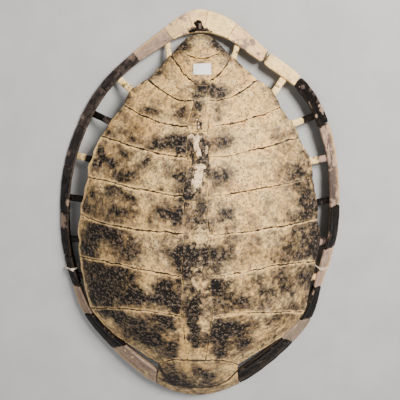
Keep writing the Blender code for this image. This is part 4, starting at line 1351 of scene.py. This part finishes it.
# %% Drums of the backbone
def spool_parts(front, rear, small=1.0):
    """One body of the backbone and the thin wall that hangs it from the plate."""
    s = np.linspace(0, 1, 30)
    y = front + 0.4 + s * (rear - front - 0.8)
    x = (strip_edge(y, "left") + strip_edge(y, "right")) / 2
    plan = np.stack([x, y], 1)
    centres = lifted(plan) - np.array([0, 0, SPOOL_DEPTH])
    angle = 2 * np.pi * np.arange(28) / 28
    radius = small * (5.0 + 2.9 * np.abs(2 * s - 1) ** 2.5) * (1 - 0.25 * (np.abs(2 * s - 1) > 0.99))
    level = np.array([[-1.0, 0, 0]])
    upright = np.array([[0, 0, 0.92]])
    radius = radius[:, None]
    rings = loft(centres, level, upright, radius * np.cos(angle), radius * np.sin(angle))
    rings = rings + grid_normals(rings) * (rough(rings, 8, 300, 3) * 0.45)[..., None]
    stain = 0.15 + 0.3 * rough(rings, 16, 310, 3)
    from_end = np.minimum(s, 1 - s) * (rear - front)
    seam = 0.8 * np.exp(-from_end / 1.5)[:, None] + stain * 0
    spool = tube(rings, {"stain": stain, "seam": seam}, tube_uv(s * (rear - front), angle * 6),
                 "inside")
    h = np.linspace(0, 1, 16)
    top = lifted(plan) - np.array([0, 0, PLATE_THICK - 2.5])
    half = 2.3 + 3.2 * (1 - h) ** 3 + 1.2 * h ** 4
    inset = 0.10 * np.sin(np.pi * h)
    rings = []
    for share, wide, pinch in zip(h, half, inset):
        low = top * (1 - share) + centres * share
        length = low[2:-2]
        length = length[0] + (length - length[0]) * (1 - 2 * pinch) \
            + (length[-1] - length[0]) * pinch
        left = length - np.array([wide, 0, 0])
        right = length[::-1] + np.array([wide, 0, 0])
        rings.append(np.concatenate([left, right]))
    rings = np.array(rings)
    rings[..., 0] += rough(rings, 7, 320, 2) * 0.3
    stain = 0.2 + 0.3 * rough(rings, 12, 330, 3)[:, ::-1]
    keel = tube(rings[:, ::-1], {"stain": stain, "seam": stain * 0}, rings[:, ::-1, 1:3], "inside")
    return [spool, keel]


print("a drum is", PLATE_JOINTS[1] - PLATE_JOINTS[0], "mm long at the head end")

# %% [markdown]
# The plate above the drum is a narrow slab between two joints of the strip. It could share the
# rib plate grid, but its sides wander with the strip. So its grid is drawn across the strip row
# by row, and the drum is joined to it as one bone.

# %% Middle plates
def neural(number):
    """One bone of the middle row: a thick worn plate with its piece of backbone."""
    front, rear = MIDDLE_JOINTS[number - 1], MIDDLE_JOINTS[number]
    length = rear - front
    v = graded(column_count(length), np.array([length]))[:, 0]
    y = front + v * length
    left = joint_wave(np.stack([strip_edge(y, "left"), y], 1), 500 + number, 0.5)
    right = joint_wave(np.stack([strip_edge(y, "right"), y], 1), 520 + number, 0.5)
    u = graded(column_count(44), np.array([40]))[:, 0]
    plan = left[:, None] * (1 - u)[None, :, None] + right[:, None] * u[None, :, None]
    for row, seed in ((0, 540 + number - 1), (-1, 540 + number)):
        line = joint_wave(plan[row].copy(), seed, 1.0)
        fade = np.exp(-np.abs(y - y[row]) / 6)
        plan += (line - plan[row])[None] * fade[:, None, None]
    plan = pulled_in(plan, JOINT_GAP / 2, ("first", "last", "left", "right"))
    halo = ((0.35, 0.35, 0.25, 0.25), (3.0, 3.0, 2.5, 2.5))
    shown = (0.9 if number == 1 else 0.45, 0.8 if number == 1 else 0.3)
    parts = plate_parts(plan, PLATE_THICK, halo, 60 + number, shown=shown)
    parts += spool_parts(front, rear, 0.8 if number == 9 else 1.0)
    return make_piece(f"bone_neural_{number}", parts, [f"neural_{number}"])


for number in range(1, 10):
    neural(number)
print("with the middle row", len(made_pieces), "pieces")

# %% [markdown]
# The head end has one wide plate with a thick lip and a groove, and the tail end has two small
# plates between the last ribs. The rib plate code could be stretched to make them, but their
# edges follow other lines. So each is a grid between two lines of its own.


# %% Plate at the head end
def nuchal():
    """The wide plate at the head end: thick at its front edge, with a groove round its front."""
    s_left = np.linspace(1 / 3, 0, column_count(70))
    s_right = np.linspace(0, 1 / 3, column_count(70))
    between = np.linspace(0, 1, column_count(42))[1:-1, None]
    dense = np.linspace(0, 1, 500)
    waved = {side: joint_wave(side_line(0, side, dense), 150 if side == "left" else 100)
             for side in ("left", "right")}
    rear_left, rear_right = [
        np.stack([np.interp(s, dense, waved[side][:, k]) for k in (0, 1)], 1)
        for side, s in (("left", s_left), ("right", s_right))]
    rear = np.concatenate([rear_left, rear_left[-1] * (1 - between) + rear_right[0] * between,
                           rear_right])
    along = np.concatenate([[0], np.cumsum(np.linalg.norm(np.diff(rear, axis=0), axis=1))])
    u = graded(column_count(along[-1]), np.array([along[-1]]))[:, 0]
    rear = np.stack([np.interp(u * along[-1], along, rear[:, k]) for k in (0, 1)], 1)
    rear[1:-1] += np.stack([0 * u, 2.2 * np.sin(3 * np.pi * u) * np.exp(-((u - 0.5) / 0.4) ** 2)],
                           1)[1:-1] * 0.5
    start = RIM_COUNT / 2 - 1
    outer = rim_curve(start + 2 * u)
    v = graded(column_count(130), np.array([120.0]))[:, 0]
    plan = outer[None] * (1 - v)[:, None, None] + rear[None] * v[:, None, None]
    for column, t in ((0, start), (-1, start + 2)):
        here, inward = rim_frame(t)
        corner = here + inward * rim_width(t)
        edge = np.stack([np.interp(v, [0, 0.52, 1], [outer[column, k], corner[k],
                                                     rear[column, k]]) for k in (0, 1)], 1)
        reach = (1 - u) ** 3 if column == 0 else u ** 3
        plan += (edge - plan[:, column])[:, None] * reach[None, :, None]
    plan = pulled_in(plan, JOINT_GAP / 2, ("last", "left", "right"))
    down = edge_distances(plan)[0]
    thick = PLATE_THICK + 5 * np.exp(-((down - 9) / 14) ** 2)
    halo = ((0.0, 0.3, 0.3, 0.3), (4.0, 5.0, 3.0, 3.0))
    parts = plate_parts(plan, thick - 0.8, halo, 77, free_sides=("first",))
    count = plan.shape[0] * plan.shape[1]
    top = parts[0]["points"][:count]
    away = line_distance(top, HEAD_GROOVE)
    wide = 2.8 + 2.6 * ease(-top[:, 0], 45, 95) + 0.9 * rough(top, 12, 96, 3)
    groove = np.exp(-(away / (wide + 0.9)) ** 2)
    parts[0]["points"][:count] -= outward(top[:, :2]) * (groove * 1.8)[:, None]
    seam = parts[0]["data"]["seam"]
    seam[:count] = np.maximum(seam[:count], np.exp(-(away / wide) ** 2) * 1.1)
    stain = parts[0]["data"]["stain"]
    rim_part = 1 - ease(down.ravel(), 22, 34)
    lip_stain = 0.46 + 0.40 * rough(top, 14, 99, 4)
    stain[:count] = stain[:count] * (1 - rim_part) + lip_stain * rim_part
    return make_piece("bone_nuchal", parts, ["nuchal"])


print("head groove through", len(HEAD_GROOVE), "points")

# %% [markdown]
# Behind the last ribs two small plates close the dome. They could be one plate, but the joint
# between them is plain on the shell. Each is a grid between a front line and a rear line.

# %% Plates at the tail
def end_plate(name, front, rear, halo, seed):
    """Plate between two lines that run from left to right, such as those behind the last rib."""
    length = np.linalg.norm(front - rear, axis=1)
    v = graded(column_count(length.max()), length)
    plan = front[None] * (1 - v)[..., None] + rear[None] * v[..., None]
    edges = ("first", "last") if name.endswith("1") else ("first",)
    plan = pulled_in(plan, JOINT_GAP / 2, edges)
    free_sides = ("left", "right") if name.endswith("1") else ("left", "right", "last")
    shown = (1.0, 0.0) if name.endswith("1") else (0.55, 0.0)
    # The 1.5 makes the free edges darkest: partly dirt, partly painted shade on the sides of the
    # tail plates.
    parts = plate_parts(plan, PLATE_THICK - 1.0, halo, seed, None, free_sides, 1.5, shown)
    return make_piece("bone_" + name, parts, [name])


nuchal()
share = graded(column_count(170), np.array([150.0]))[:, 0]
dense = np.linspace(0, 1, 500)
arms = []
for side in ("left", "right"):
    seed = 100 + 8 * 3 + (50 if side == "left" else 0)
    arms.append(joint_wave(side_line(8, side, dense), seed))
across = np.linspace(0, 1, 60)[1:-1, None]
chevron = np.concatenate([arms[0][::-1], arms[0][0] * (1 - across) + arms[1][0] * across,
                          arms[1]])
run = np.concatenate([[0], np.cumsum(np.linalg.norm(np.diff(chevron, axis=0), axis=1))])
chevron = np.stack([np.interp(share * run[-1], run, chevron[:, k]) for k in (0, 1)], 1)
back = joint_wave(soft_line(BACK_JOINT, share, 0.06), 610, 0.8)
tip = soft_line(TIP_EDGE, share, 0.08)
end_plate("suprapygal_1", chevron, back, ((0.3, 0.5, 0.2, 0.2), (3.5, 3.0, 4.0, 4.0)), 81)
end_plate("suprapygal_2", back, tip, ((0.5, 0.0, 0.0, 0.0), (3.0, 2.0, 2.0, 2.0)), 82)
print("plates", len(made_pieces), sum(len(o.data.polygons) for o in made_pieces), "faces")

# %% [markdown]
# The rim is a ring of 23 bones with a blunt nose, a flat foot and a groove inside that takes the
# rib ends. They could be swept as one ring and cut. Each is a loft of one section along its
# stretch of the rim, so its ends can be rounded and its colour can differ from the next.
# Joints are numbered from 0 at the tail, down the left side to 13 at the head and back up.

# %% Rim bones
RIM_LOOK = {
    "left": {1: ("pink", "cream", 0.18), 2: ("black", "brown", 0.16), 3: ("pink", "grey", 0.3),
             4: ("black", "charcoal", 0.3), 5: ("black", "charcoal", 0.35),
             6: ("charcoal", "black", 0.5), 7: ("charcoal", "brown", 0.35),
             8: ("brown", "charcoal", 0.45), 9: ("brown", "charcoal", 0.5),
             10: ("pink", "grey", 0.25), 11: ("pale", "pink", 0.4)},
    "right": {1: ("black", "brown", 0.12), 2: ("grey", "pink", 0.4), 3: ("black", "soot", 0.3),
              4: ("pink", "grey", 0.4), 5: ("black", "brown", 0.12), 6: ("mauve", "pink", 0.5),
              7: ("mauve", "pink", 0.5), 8: ("black", "pink", 0.2), 9: ("cream", "pale", 0.3),
              10: ("pale", "pink", 0.4), 11: ("cream", "pale", 0.35)}}


JOINT_SHOWN = {0: 0.0, 1: 0.05, 2: 0.12, 3: 0.12, 4: 0.5, 5: 0.4, 6: 0.4, 7: 0.4, 8: 0.6,
               20: 0.1, 21: 1.0, 22: 0.9, 23: 1.0, 24: 0.15, 25: 0.05}
JOINT_WIDE = {23: 6.5, 22: 2.2, 21: 2.0, 17: 2.0, 16: 2.0}
JOINT_ROUND = {23: 6.5, 22: 3.6, 21: 3.4, 19: 6.0, 18: 6.0, 17: 3.6, 16: 3.4}
JOINT_PALE = {2: 0.6, 3: 0.7, 5: 0.35, 6: 0.35}
SCUFFS = [(-318, -10, 13, "pink", 1.0), (-320, -24, 12, "pink", 1.0), (-302, 30, 7, "pink", 0.8),
          (-300, 140, 7, "pink", 0.5), (-262, 222, 7, "pink", 0.5), (-150, 352, 8, "pink", 0.4),
          (246, 285, 6, "mauve", 0.6), (252, 273, 5, "mauve", 0.6), (262, 257, 6, "mauve", 0.8),
          (267, 248, 6, "pink", 0.9), (272, 239, 7, "pink", 0.8), (256, 226, 5, "pink", 0.7),
          (225, 288, 5, "mauve", 0.8), (318, -78, 7, "mauve", 0.5)]


def at_ends(table, start, end, count, usual):
    """Value of a joint table for each ring: the start's for one half, the end's for the other."""
    values = [table.get(round(joint) % RIM_COUNT, usual) for joint in (start, end)]
    return np.where(np.linspace(0, 1, count) < 0.5, *values)


print("scuffs on the rim", len(SCUFFS))

# %% [markdown]
# The section of a rim bone is an upper sheet, a rounded nose, a flat foot and a low lip inside.
# A bevelled bar would lose the groove that holds the rib ends. Thirteen points and a closed
# spline give the whole form, and they move with the width and lift of the rim.

# %% Section of the rim
def rim_section(t):
    """Outline of the rim's cut face as inset and height, with the place and inward step."""
    here, inward = rim_frame(t)
    base = float(round_ring(LIFT, t))
    width = rim_width(t)
    tail_share = np.clip((here[1] - 330) / 90, 0, 1)
    lip = LIP_INSET_SIDE + (LIP_INSET_TAIL - LIP_INSET_SIDE) * tail_share

    def top(inset):
        spot = here + inward * inset
        return float(dome(spot[0], spot[1]))

    def under(inset):
        rise = (top(inset + 1) - top(inset - 1)) / 2
        fall = np.array([rise, -1.0]) / np.hypot(rise, 1)
        return inset + fall[0] * RIM_SHEET, top(inset) + fall[1] * RIM_SHEET

    outline = [(width, top(width) - 0.3), (width * 0.75, top(width * 0.75)),
               (width * 0.5, top(width * 0.5)), (width * 0.25, top(width * 0.25)), (2, top(2)),
               (0, base + 4.5), (3, base), (11, base), (lip - 1, base + 4), (lip, base + 7.5),
               under(9), under((width + 9) / 2), under(width)]
    return np.array(outline), here, inward, base


def crust_at(points):
    """Dried black crust on the tail bone: a wide ragged wedge with a round clot at its tip."""
    x, y = points[..., 0], points[..., 1]
    wedge = np.clip((y - 394) / 30, 0, 1)
    half = 38 * (1 - wedge) ** 1.2 + 9
    wide = np.clip((1 - np.abs(x - 2 + 6 * wedge) / half) * 1.6, 0, 1)
    clot = np.clip((1 - np.hypot(x + 4, y - 420) / 12) * 1.8, 0, 1)
    return np.maximum(wide * ease(422 - y, 0, 8), clot) * ease(y, 384, 389)


print("rim section has", len(rim_section(3)[0]), "points")

# %% [markdown]
# A rim bone is a row of these sections between two joints. Its ends could be cut square. They
# shrink a little instead, because worn bones meet with rounded edges. Colour, scuffs, film and
# joint dust are worked out here too, since they depend on the place along the bone.

# %% One bone of the rim
def rim_bone(name, start, end, look, seed):
    """One bone of the rim between two joints, with rounded ends, grain and knocks."""
    ends = rim_curve(np.array([start, end]))
    length = np.linalg.norm(ends[1] - ends[0])
    shares = graded(int(length / (GRID * 1.15)) + 6, np.array([length]))[:, 0]
    gap = 0.25 / length
    shares = gap + shares * (1 - 2 * gap)
    around = 84
    shown = at_ends(JOINT_SHOWN, start, end, len(shares), 0.9)
    wide = at_ends(JOINT_WIDE, start, end, len(shares), 1.1)
    round_off = at_ends(JOINT_ROUND, start, end, len(shares), 2.8)
    pale = at_ends(JOINT_PALE, start, end, len(shares), 0.0)
    rings, flats = [], []
    for i, share in enumerate(shares):
        outline, here, inward, base = rim_section(start + share * (end - start))
        loop = closed_spline(outline)(np.linspace(0, len(outline), around, endpoint=False))
        edge = min(share - gap, 1 - gap - share) * length
        shrink = rolled(max(edge, 0), round_off[i]) * (0.12 + 0.88 * shown[i])
        middle = loop.mean(0)
        away = loop - middle
        size = np.linalg.norm(away, axis=1, keepdims=True)
        loop = loop - away / size * np.minimum(shrink, size * 0.5)
        loop[:, 1] = np.maximum(loop[:, 1], base)
        rings.append(np.concatenate([here + inward * loop[:, :1], loop[:, 1:]], 1))
        flats.append(loop[:, 1] < base + 0.6)
    rings = np.array(rings)
    flats = np.array(flats)
    out = grid_normals(rings)
    turn = np.sign(np.sum(out * (rings - rings.mean(1, keepdims=True)), -1).sum())
    out = out * turn
    run = shares * length
    grain_spot = np.stack([run[:, None] * 0.12 + rings[..., 2] * 0,
                           rings[..., 2], np.linalg.norm(rings[..., :2] - SUMMIT, axis=-1)], -1)
    relief = rough(rings, 26, 400, 3) * 0.9 + noise(grain_spot, 2.4, 410) * 0.22
    relief = relief + rough(rings, 6, 420, 2) * 0.3 - pits(rings[..., :2], 9, 430 + seed) * 0.5
    from_end = np.minimum(run, run[-1] - run)
    relief = relief - 0.9 * (shown * np.exp(-from_end / 5.0))[:, None]
    relief = np.where(flats, 0, relief - 0.5)
    rings = rings + out * relief[..., None]
    main, second, share = look
    tint = painted(rings, main, second, share, 440 + seed, 16)
    scuffs = painted(rings, "brown", "pink", 0.5, 450 + seed, 5)
    # Dark rim bones turn pale along their edges and nose: partly rubbed wear, partly a painted
    # highlight on the edges.
    edge_wear_and_highlight = ease(rough(rings, 12, 460 + seed, 3), 0.25, 0.5) * (main in ("black", "charcoal"))
    place = np.arange(around) / around * SECTION_POINTS
    ridge = np.maximum(place < 0.5, place > 12.7) + 1.0 * (np.abs(place - 4.6) < 0.7)
    wear_and_highlight = edge_wear_and_highlight * (0.12 + 0.68 * ridge[None])
    tint = tint * (1 - 0.7 * wear_and_highlight[..., None]) + scuffs * 0.7 * wear_and_highlight[..., None]
    nose = 0.75 * np.exp(-((place - 4.6) / 1.4) ** 2)[None, :, None] * (main in ("pink", "mauve"))
    tint = tint * (1 - nose) + np.array(PALETTE["pale"]) * 0.85 * nose
    line = (pale * np.exp(-from_end / 1.6))[:, None, None]
    line = line * ease(rough(rings, 6, 467, 3), -0.35, 0.25)[..., None]
    tint = tint * (1 - line) + np.array(PALETTE["pink"]) * 1.3 * line
    for mid_x, mid_y, size, colour, strength in SCUFFS:
        away = np.hypot(rings[..., 0] - mid_x, rings[..., 1] - mid_y) / size
        ragged = 1.0 - away + 0.8 * rough(rings, 7, 468, 4)
        bare = strength * ease(ragged, 0.0, 0.35)[..., None]
        tint = tint * (1 - bare) + np.array(PALETTE[colour]) * bare
    dark = tint.mean(-1)
    film = ease(-dark, -0.10, -0.05)
    inner = np.arange(around) > around * 0.72
    tint = np.where(inner[None, :, None], tint * 0.8 + np.array(PALETTE["grey"]) * 0.12, tint)
    seam = (shown * np.exp(-from_end / wide))[:, None] * (1 + 0.5 * rough(rings, 9, 465, 3))
    if -1 <= start <= 1 or start == RIM_COUNT - 2:
        crust = crust_at(rings)
        crust = crust * (outward(rings[..., :2]) * out).sum(-1).clip(0, 1)
        lumps = ease(rough(rings, 9, 470, 4) * 0.8 + crust * 1.1, 0.45, 0.60) * (crust > 0.05)
        rings = rings + out * (lumps * 1.6 * (0.6 + 0.4 * noise(rings, 3, 475)))[..., None]
        lumps = lumps[..., None]
        dry = ease(rough(rings, 7, 478, 4), -0.05, 0.35)[..., None]
        crusty = np.array(PALETTE["soot"]) * (1 - dry) + np.array(PALETTE["brown"]) * 2.2 * dry
        tint = tint * (1 - lumps) + crusty * lumps
    data = {"tint": tint, "film": film, "seam": seam, "stain": film * 0}
    part = tube(rings, data, tube_uv(run, np.arange(around) * 1.2), "rim")
    return make_piece("bone_" + name, [part], [name])


rim_bone("pygal", -1, 1, ("pale", "cream", 0.4), 1)
for side in ("left", "right"):
    for number in range(1, 12):
        start = 12 - number
        if side == "right":
            start = RIM_COUNT - start - 1
        rim_bone(f"peripheral_{side}_{number}", start, start + 1, RIM_LOOK[side][number],
                 number * 2 + (30 if side == "left" else 0))
print("with rim", len(made_pieces), sum(len(o.data.polygons) for o in made_pieces), "faces")

# %% [markdown]
# The last small things are a blank paper label and two string ties. A flat rectangle would cut
# into the dome, so the label is a thin grid lifted off it. The string could be a smooth ring,
# but real string is three strands twisted together. So its section has three lobes that turn
# along its length, and a small trefoil tube makes the knot.

# %% Label
def paper_label():
    """Blank sticker that follows the dome, with one corner lifted a little."""
    a, b, c, d = [np.array(p, float) for p in LABEL_CORNERS]
    s = np.linspace(0, 1, 50)[None, :, None]
    v = np.linspace(0, 1, 34)[:, None, None]
    plan = (a * (1 - s) + b * s) * (1 - v) + (d * (1 - s) + c * s) * v
    out = outward(plan)
    curl = 0.9 * np.clip(s + v - 1.72, 0, 1)[..., 0] ** 1.5 * 4
    lift = 0.85 + curl + 0.12 * noise(lifted(plan), 12, 480)
    low = lifted(plan) + out * lift[..., None]
    high = low + out * 0.3
    edge = np.minimum(np.minimum(s, 1 - s) * 37, np.minimum(v, 1 - v) * 23)[..., 0]
    data = {"seam": 0.5 * np.exp(-edge / 0.5), "stain": edge * 0}
    parts = slab(high, low, data, data, plan.copy(), "label", "label")
    return make_piece("blank_label", parts, ["paper_label"])


print("label", np.ptp(np.array(LABEL_CORNERS), axis=0), "mm")

# %% [markdown]
# Each string goes once round the rim and ends in a knot. A plain hoop would hang in the air at
# the groove. The path follows the rim's own section at one place, a string's radius outside it.

# %% String ties
def string_path(t):
    """Middle line of the string round the rim, closed."""
    here, inward = rim_frame(t)
    width = rim_width(t)
    base = float(round_ring(LIFT, t))
    clear = STRING_RADIUS + 0.8

    def top(inset):
        spot = here + inward * inset
        return float(dome(spot[0], spot[1]))
    path = [(-clear, base + 3), (-clear * 0.7, top(0) + clear * 0.7),
            (width * 0.5 - clear * 0.8, top(width * 0.5) + clear * 0.75),
            (width - 0.5, top(width) + clear * 1.5), (width + 8, top(width) - 3),
            (width + 8, base + 13), (LIP_INSET_SIDE + 2, base + 1.5), (11, base - clear),
            (1, base - clear * 0.9)]
    centres = np.array([[*(here + inward * inset), height] for inset, height in path])
    return centres, inward


KNOT_LEAN = np.array([0.3, 0.2, 0.93])


def string_tie(name, t):
    """Twisted string loop with a small knot on its outer side."""
    centres, inward = string_path(t)
    sideways = np.array([-inward[1], inward[0], 0.0])
    path = closed_spline(centres)(np.linspace(0, len(centres), 520, endpoint=False))
    along = unit(np.roll(path, -1, 0) - np.roll(path, 1, 0))
    out = unit(np.cross(along, sideways))
    side = np.cross(out, along)
    run = np.cumsum(np.linalg.norm(np.roll(path, -1, 0) - path, axis=1))
    turns = np.round(run[-1] / 9.0)
    twist = 2 * np.pi * turns * run / run[-1]
    angle = 2 * np.pi * np.arange(30) / 30
    lobes = np.abs(np.cos(1.5 * (angle[None] + twist[:, None])))
    radius = STRING_RADIUS * (0.66 + 0.30 * lobes)
    rings = loft(path, side, out, radius * np.cos(angle), radius * np.sin(angle))
    rings = np.concatenate([rings, rings[:1]])
    lobes = np.concatenate([lobes, lobes[:1]])
    # Painted shade: the string is darkened in the grooves between its three strands.
    data = {"seam": 0.8 * np.exp(-lobes * 4), "stain": lobes * 0}
    parts = [tube(rings, data, tube_uv(np.append(run, run[-1]), angle * 2), "string")]
    knot_at = len(path) // 3
    k = np.linspace(0, 2 * np.pi, 140)
    knot = np.stack([np.sin(k) + 2 * np.sin(2 * k), np.cos(k) - 2 * np.cos(2 * k),
                     -np.sin(3 * k)], 1) * np.array([1.25, 1.25, 1.1])
    turned = np.stack([along[knot_at], sideways, np.cross(along[knot_at], sideways)])
    centre_line = path[knot_at] + knot @ turned
    ahead = unit(np.gradient(centre_line, axis=0))
    one = unit(np.cross(ahead, KNOT_LEAN))
    round_x, round_y = (np.tile(1.15 * turn(angle), (len(k), 1)) for turn in (np.cos, np.sin))
    ring = loft(centre_line, one, np.cross(ahead, one), round_x, round_y)
    flat = np.zeros(ring.shape[:2])
    parts.append(tube(ring, {"seam": flat + 0.1, "stain": flat}, tube_uv(k * 4, angle * 2),
                      "string"))
    print(name, "is", round(run[-1]), "mm long round the rim")
    return make_piece("cord_" + name, parts, [name])


paper_label()
string_tie("string_tie_left", TIE_STATION["left"])
string_tie("string_tie_right", RIM_COUNT - TIE_STATION["right"])

# %% [markdown]
# The shell lies on a plain pale floor. Small hard lights would drown the relief in black
# shadow, so one large soft light comes from the tail side and two weak ones fill in. The camera
# looks down from the tail side, about fourteen degrees off straight down, through a 54 mm lens.

# %% Floor
def floor():
    """Large pale floor with a very faint mottle."""
    bpy.ops.mesh.primitive_plane_add(size=12, location=(0, 0, 0))
    made = bpy.context.object
    made.name = "floor"
    look, tree, shader = new_material("pale_floor")
    place = put(tree, "ShaderNodeTexCoord").outputs["Object"]
    tone = ramp(tree, grainy(tree, place, 9, 6, 0.6), [(0.3, (0.405, 0.405, 0.405)),
                                                       (0.7, (0.455, 0.455, 0.45))])
    tree.links.new(tone, shader.inputs["Base Color"])
    shader.inputs["Roughness"].default_value = 0.9
    made.data.materials.append(look)


floor()

# %% [markdown]
# The light is what shows the relief. A sun would be too hard, so the lights are soft squares:
# a strong one low enough over the tail side to cast the joints in shadow, and two weak ones.

# %% Light
def area_light(name, place, target, size, power, colour):
    """Soft rectangular light aimed at a point."""
    data = bpy.data.lights.new(name, "AREA")
    data.shape = "SQUARE"
    data.size = size
    data.energy = power
    data.color = colour
    made = bpy.data.objects.new(name, data)
    bpy.context.scene.collection.objects.link(made)
    made.location = place
    way = Vector(target) - Vector(place)
    made.rotation_euler = way.to_track_quat("-Z", "Y").to_euler()


MIDDLE = (0, 0, 0.05)
area_light("key", (1.2, 1.2, 2.1), MIDDLE, 0.9, 158, (1.0, 0.96, 0.90))
area_light("fill", (-1.3, -0.6, 1.9), MIDDLE, 2.0, 12, (0.96, 0.98, 1.0))
area_light("low", (0.2, -2.2, 1.3), MIDDLE, 1.6, 13, (1.0, 0.98, 0.96))
world = bpy.data.worlds.new("soft_room")
world.use_nodes = True
room = world.node_tree.nodes["Background"]
room.inputs["Color"].default_value = (0.86, 0.86, 0.87, 1)
room.inputs["Strength"].default_value = 0.30
bpy.context.scene.world = world
print("lights", len(bpy.data.lights))

# %% [markdown]
# A camera can be turned by hand until the picture looks right. Here its tilt and distance were
# worked out from the outline in the photo, so that the bones fall on the same places.

# %% Camera
CAMERA_TILT = np.radians(13.7)
CAMERA_DISTANCE = 1.325
AIM_TOWARD_TAIL = 0.045
AIM_HEIGHT = 0.07
camera_data = bpy.data.cameras.new("camera")
camera_data.sensor_width = 36
camera_data.lens = 54
camera = bpy.data.objects.new("camera", camera_data)
bpy.context.scene.collection.objects.link(camera)
back = Vector((0, np.sin(CAMERA_TILT), np.cos(CAMERA_TILT)))
upward = Vector((0, np.cos(CAMERA_TILT), -np.sin(CAMERA_TILT)))
rightward = upward.cross(back)
turn = Matrix((rightward, upward, back)).transposed().to_4x4()
aim = Vector((CENTRE[0] * MM, AIM_TOWARD_TAIL + CENTRE[1] * MM, AIM_HEIGHT))
camera.matrix_world = Matrix.Translation(aim + back * CAMERA_DISTANCE) @ turn
bpy.context.scene.camera = camera
print("camera at", [round(value, 3) for value in camera.matrix_world.translation])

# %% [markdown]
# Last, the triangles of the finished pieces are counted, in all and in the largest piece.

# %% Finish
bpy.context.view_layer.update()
triangles = [2 * len(made.data.polygons) for made in made_pieces]
print("triangles", sum(triangles), "and at most", max(triangles), "in one piece")
